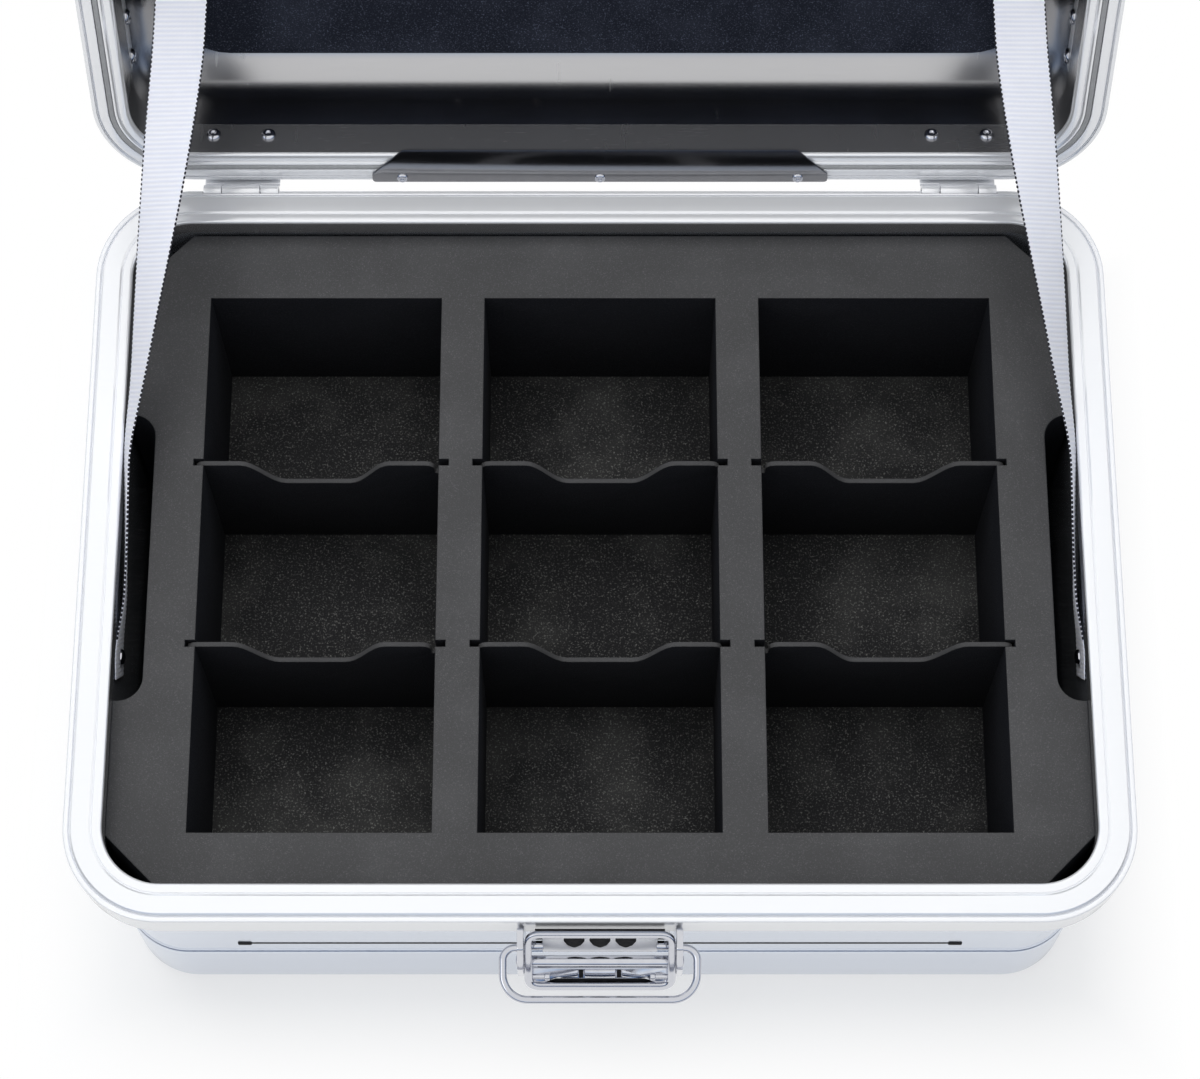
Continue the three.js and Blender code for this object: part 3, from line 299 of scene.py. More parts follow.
def rubber(name, colour, roughness, mottle_scale=500.0, shade_share=0.7, gloss=0.15):
    """A small dark or moulded finish with a fine mottled surface."""
    material, tree, shader = new_material(name)
    mottle = noise(tree, place_of(tree), scale=mottle_scale)
    shade, smoother, rougher = (shade_share * value for value in colour), 0.05, 0.08
    fill(tree, shader.inputs, {
        "Base Color": blend_colours(tree, mottle, (*shade, 1), (*colour, 1)), "Specular IOR Level": gloss,
        "Roughness": mapped(tree, mottle, start=0.3, end=0.7, low=roughness - smoother,
                            high=roughness + rougher)})
    return material


SHELL_SATIN = metal("shell satin aluminium", light=(0.76, 0.80, 0.88), dark=(0.70, 0.75, 0.84), roughness=0.2,
                    rub=0.2, depth=0.000003, metallic=0.8)
RIM_SATIN = metal("rim satin aluminium", light=(0.94, 0.95, 0.97), dark=(0.88, 0.895, 0.93), roughness=0.15,
                  spread=0.03, rub=0.25, depth=0.000002, metallic=0.45)
# Painted shade: a darker copy of the rim aluminium for the inner legs' inward faces.
LEG_SHADE_SATIN = metal("lid leg aluminium", light=(0.42, 0.42, 0.43), dark=(0.34, 0.34, 0.35), roughness=0.26,
                  rub=0.1, metallic=0.8)
# Painted shade: a darker copy of the shell's aluminium for the lid's inner faces.
LID_INSIDE_SHADE = metal("lid inside aluminium", light=(0.54, 0.54, 0.55), dark=(0.46, 0.46, 0.47), roughness=0.22,
                   rub=0.1, depth=0.000003)
HINGE_SATIN = metal("hinge aluminium", light=(0.92, 0.93, 0.95), dark=(0.84, 0.85, 0.88), roughness=0.34,
                    rub=0.4, metallic=0.6)
BRIGHT_STEEL = metal("bright steel", light=(0.64, 0.65, 0.69), dark=(0.54, 0.55, 0.60), roughness=0.1,
                     spread=0.04, rub=0.25, depth=0.000002)
PANEL_STEEL = metal("satin steel panel", light=(0.92, 0.93, 0.95), dark=(0.86, 0.87, 0.90), roughness=0.3,
                    rub=0.2, depth=0.000002, metallic=0.6)
PLATE_STEEL = metal("polished plate", light=(0.30, 0.30, 0.31), dark=(0.24, 0.24, 0.25), roughness=0.14,
                    rub=0.1)
INSERT_FOAM = foam("insert foam", base=(0.067, 0.067, 0.069), pale=(0.195, 0.195, 0.204),
                   cell=1100.0, speck=0.5)
# Painted shade: the same foam much darker, for upright walls and the dividers' broad faces.
SHADED_FOAM_WALL = foam("cut foam wall", base=(0.006, 0.0065, 0.009), pale=(0.032, 0.034, 0.042),
                cell=1100.0, speck=0.5)
DIVIDER_FOAM = foam("divider foam", base=(0.060, 0.060, 0.062), pale=(0.17, 0.17, 0.177),
                    cell=1500.0, speck=0.3)
FLOOR_FOAM = foam("floor foam", base=(0.018, 0.018, 0.019), pale=(0.30, 0.30, 0.285), cell=650.0, speck=0.6)
LID_FOAM = foam("lid foam", base=(0.012, 0.015, 0.026), pale=(0.20, 0.23, 0.33), cell=800.0, speck=0.6)
WEBBING = webbing("white webbing", light=(0.93, 0.94, 0.99), shade=(0.72, 0.75, 0.88))
# Painted shadow: black filler set into grooves, holes and gaps where shade falls.
PAINTED_SHADOW_BLACK = rubber("seal rubber", colour=(0.02, 0.02, 0.022), roughness=0.6)
PALE_SEAL = rubber("pale seal rubber", colour=(0.5, 0.51, 0.53), roughness=0.5)
EDGE_THREAD = rubber("dark edge thread", colour=(0.03, 0.03, 0.04), roughness=0.8)


# Studio: a white floor that keeps the case's shadow near its foot and is painted plain white further out, a
# soft lamp above and pale surroundings. Metres here.
WHITE = (1, 1, 1, 1)


def glow(tree, strength):
    return put(tree, "ShaderNodeEmission", {"Color": WHITE, "Strength": strength})[0]


def blend_shaders(tree, factor, a, b):
    return put(tree, "ShaderNodeMixShader", enumerate((factor, a, b)))[0]


def seen_directly(tree):
    """1 for camera, glossy and transmission rays, else 0."""
    path = put(tree, "ShaderNodeLightPath")
    seen = calc(tree, "MAXIMUM", path["Is Camera Ray"], path["Is Glossy Ray"])
    return calc(tree, "MAXIMUM", seen, path["Is Transmission Ray"])


def away_from_case(tree):
    """0 beside the case's foot, rising to 1 from 12 to 75 mm out, where the floor is painted plain white over
    the case's shadow: painted light.
    """
    foot, near, far = (HALF_WIDTH - WALL_INSET, HALF_DEPTH - WALL_INSET), 0.012, 0.075
    sides = split_axes(tree, place_of(tree))
    gaps = [minus(tree, calc(tree, "ABSOLUTE", side), MM * half) for side, half in zip(sides, foot)]
    return mapped(tree, calc(tree, "MAXIMUM", *gaps), start=near, end=far)


def white_floor():
    half, own_light, paint, spread = 2.4, 0.52, 0.52, 0.01
    mesh = bpy.data.meshes.new("floor")
    corners = [(-half, -half, 0), (half, -half, 0), (half, half, 0), (-half, half, 0)]
    mesh.from_pydata(corners, [], [(0, 1, 2, 3)])
    floor = linked("floor", mesh)
    material, tree, shader = new_material("white floor")
    mottle = noise(tree, place_of(tree), scale=3.0)
    tone = mapped(tree, mottle, start=0.0, end=1.0, low=paint - spread, high=paint + spread)
    fill(tree, shader.inputs, {"Base Color": tone, "Roughness": 1.0, "Specular IOR Level": 0.0})
    lit = put(tree, "ShaderNodeAddShader", enumerate((shader.outputs[0], glow(tree, own_light))))[0]
    # Painted light: out from the case the floor turns plain white and its shadow is cut off.
    shown = blend_shaders(tree, away_from_case(tree), lit, glow(tree, 1.0))
    whole = blend_shaders(tree, seen_directly(tree), shader.outputs[0], shown)
    plug(tree, whole, tree.nodes["Material Output"].inputs["Surface"])
    mesh.materials.append(material)


def surroundings():
    """White to the camera. Metal sees white above and a cool, darker band along the horizon."""
    even_light, even_colour = 0.46, (0.96, 0.98, 1.0, 1)
    steps = {0.0: (0.015, 0.02, 0.04), 0.12: (0.05, 0.08, 0.15), 0.24: (0.30, 0.42, 0.66),
             0.36: (0.72, 0.82, 0.97), 0.52: (1, 1, 1)}
    world = bpy.data.worlds.new("studio")
    bpy.context.scene.world = world
    world.use_nodes = True
    tree = world.node_tree
    path = put(tree, "ShaderNodeLightPath")
    ramp = tree.nodes.new("ShaderNodeValToRGB")
    plug(tree, split_axes(tree, place_of(tree, "Generated"))[2], ramp.inputs[0])
    stops, middle = ramp.color_ramp.elements, 0.5
    while len(stops) < len(steps):
        stops.new(middle)
    for stop, (height, colour) in zip(stops, steps.items()):
        stop.position, stop.color = height, (*colour, 1)

    def background(colour, strength=1.0):
        return put(tree, "ShaderNodeBackground", {"Color": colour, "Strength": strength})[0]

    sky, white, even = background(ramp.outputs[0]), background(WHITE), background(even_colour, even_light)
    light = blend_shaders(tree, path["Is Glossy Ray"], even, sky)
    light = blend_shaders(tree, path["Is Transmission Ray"], light, white)
    light = blend_shaders(tree, path["Is Camera Ray"], light, white)
    plug(tree, light, tree.nodes["World Output"].inputs["Surface"])


def lamp(name, place, aim, size, watts, mirrored=True):
    data = bpy.data.lights.new(name, "AREA")
    data.size, data.energy = size, watts
    light = linked(name, data)
    light.visible_glossy = mirrored
    light.location = place
    light.rotation_euler = (Vector(aim) - Vector(place)).to_track_quat("-Z", "Y").to_euler()


white_floor()
surroundings()
lamp("lamp above", place=(-0.25, 0.6, 2.8), aim=(0, 0, 0.1), size=2.2, watts=54, mirrored=False)
lamp("lamp front left", place=(-1.6, -1.7, 1.9), aim=(0, 0, 0.15), size=1.2, watts=4)


# Mesh helpers
def new_piece(name, points, faces, material, sharp=35):
    """A mesh piece, shaded smooth but for edges sharper than an angle in degrees."""
    mesh = bpy.data.meshes.new(name)
    mesh.from_pydata([tuple(MM * value for value in point) for point in points], [], faces)
    mesh.update()
    mesh.materials.append(material)
    return smooth(linked(name, mesh), sharp)


def smooth(piece, sharp):
    piece.data.polygons.foreach_set("use_smooth", [True] * len(piece.data.polygons))
    piece.data.set_sharp_from_angle(angle=math.radians(sharp))
    return piece


def face_out(piece):
    """Points every closed shell's faces outwards."""
    work = bmesh.new()
    work.from_mesh(piece.data)
    bmesh.ops.recalc_face_normals(work, faces=work.faces)
    work.to_mesh(piece.data)
    work.free()
    return piece


def applied(piece):
    """The piece with its modifiers made plain mesh."""
    graph = bpy.context.evaluated_depsgraph_get()
    mesh = bpy.data.meshes.new_from_object(piece.evaluated_get(graph))
    old, name = piece.data, piece.data.name
    piece.modifiers.clear()
    piece.data = mesh
    bpy.data.meshes.remove(old)
    mesh.name = name
    return piece


def carved(piece, *cutters, operation="DIFFERENCE"):
    """Cuts pieces out of a piece, or keeps what they share, and deletes them."""
    for cutter in cutters:
        cut = piece.modifiers.new("cut", "BOOLEAN")
        cut.operation, cut.solver, cut.object = operation, "EXACT", cutter
    applied(piece)
    for cutter in cutters:
        bpy.data.objects.remove(cutter)
    return piece


def rounded_edges(piece, width, segments=2, sharp=40):
    if not width:
        return piece
    bevel = piece.modifiers.new("round", "BEVEL")
    bevel.width, bevel.segments = MM * width, segments
    return smooth(applied(piece), sharp)


def joined(name, pieces):
    """Several pieces as one, each still a closed shell."""
    work = bmesh.new()
    for piece in pieces:
        work.from_mesh(piece.data)
    mesh = bpy.data.meshes.new(name)
    work.to_mesh(mesh)
    work.free()
    for material in pieces[0].data.materials:
        mesh.materials.append(material)
    for piece in pieces:
        bpy.data.objects.remove(piece)
    return linked(name, mesh)


def dressed(piece, body, slot, *stands_for):
    """Lets a piece ride on a body and hides the nodes that it stands for. Its slot is not used."""
    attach(piece, body)
    if stands_for:
        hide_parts(*stands_for)
    return piece


ROWS = 4  # of a placement matrix
TO_HINGE = Matrix.Translation((0, MM * HINGE_Y, MM * HINGE_Z))
OPEN = TO_HINGE @ Matrix.Rotation(math.radians(-LID_ANGLE), ROWS, "X") @ TO_HINGE.inverted()


def swung_open(piece):
    """Turns a piece that was made in the shut lid to where the open lid carries it."""
    piece.data.transform(OPEN)
    return piece


def reach(distance):
    """A place at a distance in front of the rims' rear edge."""
    return HALF_DEPTH - distance


def ring_row(inset, z, radius, corner_steps=22):
    """The case's rounded rectangle at a height, drawn in from the rims' outer edge."""
    row = []
    for quarter, (sx, sy) in enumerate(((1, 1), (-1, 1), (-1, -1), (1, -1))):
        for step in range(corner_steps + 1):
            angle = (quarter + step / corner_steps) * TURN / 4
            x = sx * (HALF_WIDTH - inset - radius) + radius * math.cos(angle)
            y = sy * (HALF_DEPTH - inset - radius) + radius * math.sin(angle)
            row.append((x, y, z))
    return row


def skin_faces(rows, count, closed=False):
    """Quads between rows of points, and a cap on each end row unless the rows close into a loop."""
    faces = []
    for row in range(rows if closed else rows - 1):
        here, after = row * count, (row + 1) % rows * count
        for i in range(count):
            j = (i + 1) % count
            faces.append((here + i, here + j, after + j, after + i))
    if not closed:
        faces += [tuple(range(count))[::-1], tuple((rows - 1) * count + i for i in range(count))]
    return faces


def skinned(name, rows, material, closed=False, sharp=35):
    """A closed body through rows of points."""
    faces = skin_faces(len(rows), len(rows[0]), closed)
    return face_out(new_piece(name, sum(rows, []), faces, material, sharp))


def filleted(outline, radius, steps=3, closed=True, room_share=0.45, least=0.0001):
    """A flat outline with every corner rounded as far as its neighbours leave room."""
    result = []
    for i, corner in enumerate(outline):
        here = Vector(corner)
        if not closed and i in (0, len(outline) - 1):
            result.append(tuple(here))
            continue
        before, after = Vector(outline[i - 1]) - here, Vector(outline[(i + 1) % len(outline)]) - here
        turn = TURN / 2 - before.angle(after)
        back = min(room_share * min(before.length, after.length), radius * math.tan(turn / 2))
        if back < least:
            result.append(tuple(here))
            continue
        start, end = here + back * before.normalized(), here + back * after.normalized()
        for step in range(steps + 1):
            share = step / steps
            result.append(tuple(start.lerp(here, share).lerp(here.lerp(end, share), share)))
    return result


def arc(centre, radius, start, end, steps):
    """Points round a part of a circle, from one angle in degrees to another."""
    angles = [math.radians(start + (end - start) * step / steps) for step in range(steps + 1)]
    return [(centre[0] + radius * math.cos(angle), centre[1] + radius * math.sin(angle)) for angle in angles]


def mirrored_outline(right):
    """An outline from its right half, given from its top to its bottom."""
    return right + [(-x, y) for x, y in reversed(right)]


def ring_piece(name, profile, material, closed, least_radius=0.5):
    """A profile of (inset, height) pairs carried round the case's outline."""
    rows = [ring_row(inset, z, max(least_radius, CORNER_RADIUS - inset)) for inset, z in profile]
    return skinned(name, rows, material, closed, sharp=38)


def block(name, low, high, material=None):
    points = [(x, y, z) for z in (low[2], high[2]) for y in (low[1], high[1]) for x in (low[0], high[0])]
    faces = [(0, 2, 3, 1), (4, 5, 7, 6), (0, 1, 5, 4), (2, 6, 7, 3), (0, 4, 6, 2), (1, 3, 7, 5)]
    return new_piece(name, points, faces, material)


def rod(name, radius, low, high, at, sides=40, material=None):
    """A round bar along X from low to high, round a (y, z) axis."""
    rows = [[(end, y, z) for y, z in arc(at, radius, EAST, ALL_ROUND, sides)[:-1]] for end in (low, high)]
    return new_piece(name, sum(rows, []), skin_faces(len(rows), sides), material)


def carried(name, outline, low, high, turn, material, width=0.5, sharp=40):
    """An outline carried from low to high, its edges rounded. Turn makes a point from (level, a, b)."""
    rows = [[turn(level, a, b) for a, b in outline] for level in (low, high)]
    return rounded_edges(skinned(name, rows, material), width, sharp=sharp)


def across(name, outline, low, high, material, width=0.5):
    """A (y, z) outline carried across X."""
    return carried(name, outline, low, high, lambda x, y, z: (x, y, z), material, width)


def spanned(side, near, far):
    """Two distances from the middle as a low and a high x on one side."""
    return sorted((side * near, side * far))


def refined(node, name, material, width, segments=3, sharp=40, corner=28, near=0.01, flat=1):
    """A copy of a CAD node with its facets merged into clean faces and its corners rounded."""
    mesh = nodes[node].data.copy()
    mesh.transform(nodes[node].matrix_world)
    mesh.materials.clear()
    mesh.materials.append(material)
    work = bmesh.new()
    work.from_mesh(mesh)
    bmesh.ops.remove_doubles(work, verts=work.verts, dist=MM * near)
    bmesh.ops.dissolve_limit(work, angle_limit=math.radians(flat), verts=work.verts, edges=work.edges)
    work.to_mesh(mesh)
    work.free()
    for polygon in mesh.polygons:
        polygon.material_index = 0
    piece = linked(name, mesh)
    bevel = piece.modifiers.new("round", "BEVEL")
    bevel.width, bevel.segments = MM * width, segments
    bevel.limit_method, bevel.angle_limit = "ANGLE", math.radians(corner)
    bevel.miter_outer = "MITER_ARC"
    return smooth(applied(piece), sharp)


# Rims and shells. A rim's profile runs from its outer bead over two grooves to its inner leg.
RIM_WIDTH, RIM_BODY, RIM_CAP, RIM_EDGE = 22, 9, 4, 2
BASE_LEG, LID_LEG = 14, 27
BASE_SKIRT, SKIRT_SHEET, SKIRT_STEP = 25, 2.4, 0.5
BEAD_WIDTH, BEAD_DROP, BEAD_ROUND, BEAD_FOOT = 3, 1.2, 2.2, 1.0
GROOVE_SINK, GROOVE_WIDTH, BAND_WIDTH, ROUND, SMALL_ROUND = 2, 1, 11.5, 0.9, 0.35
SEAL_INSET, SEAL_WIDTH, SEAL_HEIGHT, SEAL_ROUND = 10, 3, 2.6, 0.7
HINGE_X, KNUCKLE_RADIUS, HINGE_LENGTH = 216, 3.6, 45


def rim_profile(face, up, leg, skirt, sealed=False):
    """Pairs of (inset, height) round a rim's section, every corner rounded."""
    start = BEAD_WIDTH + GROOVE_WIDTH
    end = start + BAND_WIDTH
    out, back = WALL_INSET - CLEAR, WALL_INSET + WALL + CLEAR
    hanging = skirt > RIM_BODY
    points = [(0, skirt)]
    if hanging:
        points = [(SKIRT_STEP, skirt), (SKIRT_STEP, RIM_BODY), (0, RIM_BODY - SKIRT_STEP)]
    points += [(0, BEAD_DROP), (BEAD_WIDTH, BEAD_DROP),
               (BEAD_WIDTH + GROOVE_WIDTH / 2, BEAD_DROP + GROOVE_SINK), (start, ROUND), (start + ROUND, 0)]
    if sealed:
        near, far, deep = SEAL_INSET - CLEAR, SEAL_INSET + SEAL_WIDTH + CLEAR, SEAL_HEIGHT + CLEAR
        points += [(near, 0), (near, deep), (far, deep), (far, 0)]
    points += [(end - ROUND, 0), (end, ROUND / 2), (end + GROOVE_WIDTH / 2, GROOVE_SINK / 2),
               (end + GROOVE_WIDTH, 0), (RIM_WIDTH, 0), (RIM_WIDTH, leg), (back, leg), (back, RIM_CAP),
               (out, RIM_CAP), (out, RIM_BODY)]
    if hanging:
        points += [(SKIRT_SHEET, RIM_BODY), (SKIRT_SHEET, skirt)]
    radii = {(0, skirt): ROUND, (SKIRT_STEP, skirt): ROUND, (0, BEAD_DROP): BEAD_ROUND,
             (BEAD_WIDTH, BEAD_DROP): BEAD_FOOT, (RIM_WIDTH, 0): RIM_EDGE, (RIM_WIDTH, leg): ROUND}
    rounded = []
    for i, corner in enumerate(points):
        near = [points[i - 1], corner, points[(i + 1) % len(points)]]
        rounded += filleted(near, radii.get(corner, SMALL_ROUND), steps=5, closed=False)[1:-1]
    return [(inset, face + up * depth) for inset, depth in rounded]


def tray_profile():
    """Pairs of (inset, height) of the base: its rounded foot, the raised lower band and the upper wall."""
    step, foot, band, top, bend = 1.5, 10, 66, BASE_HEIGHT - RIM_CAP - CLEAR, 2.0
    low, steps = WALL_INSET - step, 8
    corners = [(low, foot), (low, band), (WALL_INSET, band + step), (WALL_INSET, top)]
    outer = arc((low + foot, foot), foot, SOUTH, WEST, steps)
    outer += filleted(corners, bend, steps=5, closed=False)[1:]
    inner = [(WALL_INSET + WALL, top), (WALL_INSET + WALL, band), (low + WALL, band - step)]
    return outer + inner + arc((low + foot, foot), foot - WALL, WEST, SOUTH, steps)


def base_shell():
    """The tray, with a pressed line across its front wall. Black blocks fill the line and stand as two short
    marks at its ends: painted shadow.
    """
    line_z, sink, width, edge, overrun = 84, 0.8, 2.0, 209, 3
    wall = HALF_DEPTH - WALL_INSET
    shell = ring_piece("tray_shell", tray_profile(), SHELL_SATIN, closed=False)
    low, high = (-edge, -wall - overrun, line_z - width / 2), (edge, -wall + sink, line_z + width / 2)
    smooth(carved(shell, block("groove", low, high)), sharp=38)
    dressed(shell, "base", "shell_aluminium", "base_shell")
    # Painted shadow: black blocks in the pressed line and at its two ends, where shade falls.
    shade, shade_proud, shade_half, dent, end_shadow_proud, end_shadow_half, soft = 0.75, 0.25, 1.5, 4, 0.9, 1.9, 0.6
    low, high = (-edge, -wall - shade_proud, line_z - shade_half), (edge, -wall + shade, line_z + shade_half)
    shades = [block("shade", low, high, PAINTED_SHADOW_BLACK)]
    for side in (-1, 1):
        low = (side * edge - dent, -wall - end_shadow_proud, line_z - end_shadow_half)
        high = (side * edge + dent, -wall + sink, line_z + end_shadow_half)
        shades.append(block("dent", low, high, PAINTED_SHADOW_BLACK))
    dressed(rounded_edges(joined("swage_ends", shades), soft), "base", "seal_rubber")


def leg_painted_shade(rim, lowest, highest, level=0.3, sheet=1):
    """Gives a darker copy of the rim's sheet to the upright faces of its inner leg that look at the case's
    middle: painted shade.
    """
    rim.data.materials.append(LEG_SHADE_SATIN)
    half_x, half_y = MM * (HALF_WIDTH - RIM_WIDTH + sheet), MM * (HALF_DEPTH - RIM_WIDTH + sheet)
    for face in rim.data.polygons:
        x, y, z = face.center
        inwards = max(face.normal.x * -x, face.normal.y * -y) > 0 and abs(face.normal.z) < level
        on_leg = abs(x) < half_x and abs(y) < half_y and MM * lowest < z < MM * highest
        face.material_index = int(inwards and on_leg)


def base_rim():
    rim = ring_piece("tray_rim", rim_profile(BASE_HEIGHT, -1, BASE_LEG, BASE_SKIRT), RIM_SATIN, closed=True)
    room, margin = 2 * CLEAR, 1
    barrels = []
    for side in (-1, 1):
        low, high = side * HINGE_X - HINGE_LENGTH / 2 - CLEAR, side * HINGE_X + HINGE_LENGTH / 2 + CLEAR
        barrels.append(rod("barrel", KNUCKLE_RADIUS + room, low, high, (HINGE_Y, HINGE_Z)))
    smooth(carved(rim, *barrels), sharp=38)
    leg_painted_shade(rim, BASE_HEIGHT - BASE_LEG - margin, BASE_HEIGHT - RIM_EDGE)
    dressed(rim, "base", "rim_aluminium", "base_rim")


def lid_rim():
    profile = rim_profile(LID_FACE, 1, LID_LEG, RIM_BODY, sealed=True)
    rim = ring_piece("lid_rim_profile", profile, RIM_SATIN, closed=True)
    leg_painted_shade(rim, LID_FACE + RIM_EDGE, LID_TOP)
    dressed(swung_open(rim), "lid", "rim_aluminium", "lid_rim")
    near, far, top = SEAL_INSET, SEAL_INSET + SEAL_WIDTH, LID_FACE + SEAL_HEIGHT
    strip = filleted([(near, LID_FACE), (far, LID_FACE), (far, top), (near, top)], SEAL_ROUND)
    seal = swung_open(ring_piece("rim_seal", strip, PALE_SEAL, closed=True))
    dressed(seal, "lid", "seal_rubber", "lid_seal")


def lid_shell():
    """The lid's dome, with a darker copy of its sheet on the faces that look at its inside: painted shade."""
    shoulder, sunk, steps, inside = 28, 0.15, 14, 20
    middle, top, end = WALL_INSET + shoulder, LID_TOP - shoulder - sunk, LID_FACE + RIM_CAP + CLEAR
    profile = arc((middle, top), shoulder, NORTH, WEST, steps) + [(WALL_INSET, end), (WALL_INSET + WALL, end)]
    profile += arc((middle, top), shoulder - WALL, WEST, NORTH, steps)
    shell = ring_piece("lid_dome", profile, SHELL_SATIN, closed=False)
    shell.data.materials.append(LID_INSIDE_SHADE)
    # Faces that look at the lid's inside get the darker sheet: painted shade.
    heart = Vector((0, 0, MM * (LID_FACE + inside)))
    for face in shell.data.polygons:
        face.material_index = int(face.normal.dot(heart - face.center) > 0)
    dressed(swung_open(shell), "lid", "shell_aluminium", "lid_shell")


base_shell()
base_rim()
lid_rim()
lid_shell()


# Foam: the insert with its pockets, the divider sheets, the pads under it and the pad in the lid
FOAM_TOP, POCKET_FLOOR, FOAM_INSET = 185, 67.5, 20.8
FOAM_X, FOAM_Y = HALF_WIDTH - FOAM_INSET, HALF_DEPTH - FOAM_INSET
POCKET_HALF, POCKET_PITCH, POCKET_BACK, POCKET_FRONT = 69.066, 164.133, 162.5, -168.5
DIVIDER_SHARES = (0.32, 0.66)
SLOT_HALF, SLOT_DEPTH = 1.9, 5.9
FOAM_EDGE = ((1.1, 0), (0.5, 0.2), (0.15, 0.6))  # (below the top, worn away), softening a cut edge
FOAM_WORN = 1.1


def padded(piece, node, body, slot):
    dressed(piece, body, slot, node)


def shaded_wall_finish(piece, material, upright):
    """Gives the faces that a test picks by their normal a second, darker finish: painted shade on the foam's
    walls.
    """
    piece.data.materials.append(material)
    for face in piece.data.polygons:
        face.material_index = int(upright(face.normal))
    return piece


def grown_outline(outline, away, sharpest=0.5):
    """A flat outline moved outwards, or inwards where the distance is negative."""
    turning = sum(a[0] * b[1] - b[0] * a[1] for a, b in zip(outline, outline[1:] + outline[:1]))
    result = []
    for i, corner in enumerate(outline):
        here = Vector(corner)
        first = (here - Vector(outline[i - 1])).normalized()
        second = (Vector(outline[(i + 1) % len(outline)]) - here).normalized()
        out = Vector((first.y + second.y, -first.x - second.x)).normalized()
        grown = away / max(sharpest, math.sqrt((1 + first.dot(second)) / 2))
        result.append(tuple(here + math.copysign(grown, turning * away) * out))
    return result


def upright_block(name, outline, levels):
    """A flat outline carried up through levels of (height, distance moved outwards)."""
    rows = [[(x, y, z) for x, y in grown_outline(outline, away)] for z, away in levels]
    return skinned(name, rows, INSERT_FOAM, sharp=40)


def insert_outline():
    """Cut corners, and a rounded recess in each side for the webbing."""
    recess, corner, shift, long, bend, steps = 16.7, 34, -2, 177, 14, 8
    inner, front, back = FOAM_X - recess, shift - long / 2, shift + long / 2
    right = [(FOAM_X - corner, -FOAM_Y), (FOAM_X, -FOAM_Y + corner), (FOAM_X, front)]
    right += arc((inner + bend, front + bend), bend, SOUTH, WEST, steps)
    right += arc((inner + bend, back - bend), bend, WEST, NORTH, steps)
    return mirrored_outline(right + [(FOAM_X, back), (FOAM_X, FOAM_Y - corner), (FOAM_X - corner, FOAM_Y)])


def pocket_cutter(column, overrun=3, lift=0.05):
    """A pocket with a slot on each side for every divider, opening a little at its top edge."""
    ear = POCKET_HALF + SLOT_DEPTH
    right = [(POCKET_HALF, POCKET_BACK)]
    for share in DIVIDER_SHARES:
        y = POCKET_BACK - share * (POCKET_BACK - POCKET_FRONT)
        right += [(POCKET_HALF, y + SLOT_HALF), (ear, y + SLOT_HALF), (ear, y - SLOT_HALF),
                  (POCKET_HALF, y - SLOT_HALF)]
    outline = mirrored_outline(right + [(POCKET_HALF, POCKET_FRONT)])
    levels = [(POCKET_FLOOR - overrun, 0)] + [(FOAM_TOP - down, worn) for down, worn in FOAM_EDGE]
    levels += [(FOAM_TOP + lift, FOAM_WORN), (FOAM_TOP + overrun, FOAM_WORN)]
    return upright_block("pocket", [(column * POCKET_PITCH + x, y) for x, y in outline], levels)


def compartment_insert(level=0.5):
    levels = [(POCKET_FLOOR, 0)] + [(FOAM_TOP - down, -worn) for down, worn in FOAM_EDGE]
    slab = upright_block("compartment_insert", insert_outline(), levels + [(FOAM_TOP, -FOAM_WORN)])
    insert = smooth(carved(slab, *[pocket_cutter(column) for column in (-1, 0, 1)]), sharp=40)
    # Upright faces of the insert get the darker foam: painted shade.
    shaded_wall_finish(insert, SHADED_FOAM_WALL, lambda normal: abs(normal.z) < level)
    padded(insert, "foam_insert", "base", "insert_foam")


def divider_sheet(column, row, straight=0.9):
    sheet = refined(f"divider_{column}_{row}", f"divider_sheet_{column}_{row}", DIVIDER_FOAM, width=0.7)
    # The dividers' broad faces get the darker foam: painted shade.
    shaded_wall_finish(sheet, SHADED_FOAM_WALL, lambda normal: abs(normal.y) > straight)
    padded(sheet, f"divider_{column}_{row}", "base", "divider_foam")


compartment_insert()
padded(refined("floor_pad", "floor_sheet", FLOOR_FOAM, width=0.8), "floor_pad", "base", "floor_foam")
padded(refined("lower_foam", "packing_foam", FLOOR_FOAM, width=0.8), "lower_foam", "base", "floor_foam")
padded(refined("lid_foam", "lid_pad", LID_FOAM, width=2.2), "lid_foam", "lid", "lid_foam")
for column in (1, 2, 3):
    for row in (1, 2):
        divider_sheet(column, row)


# Webbing stays: flat on the base's side wall, turned a quarter on the way up, bent onto the lid's bracket
STAY_WIDTH, STAY_SHEET, STAY_TAIL, STAY_SEAT = 30, 1.6, 12, 22
STAY_START = Vector((-57, 163))
STAY_TOP_X, STAY_TOP_REACH, STAY_WALL_X = 240, 142, 279.9
BRACKET_RISE = 30
RIB = 2.7


def opened(y, z):
    """A place in the shut lid, as (y, z), moved to where it is with the lid open."""
    place = OPEN @ Vector((0, MM * y, MM * z))
    return Vector((place.y, place.z)) / MM


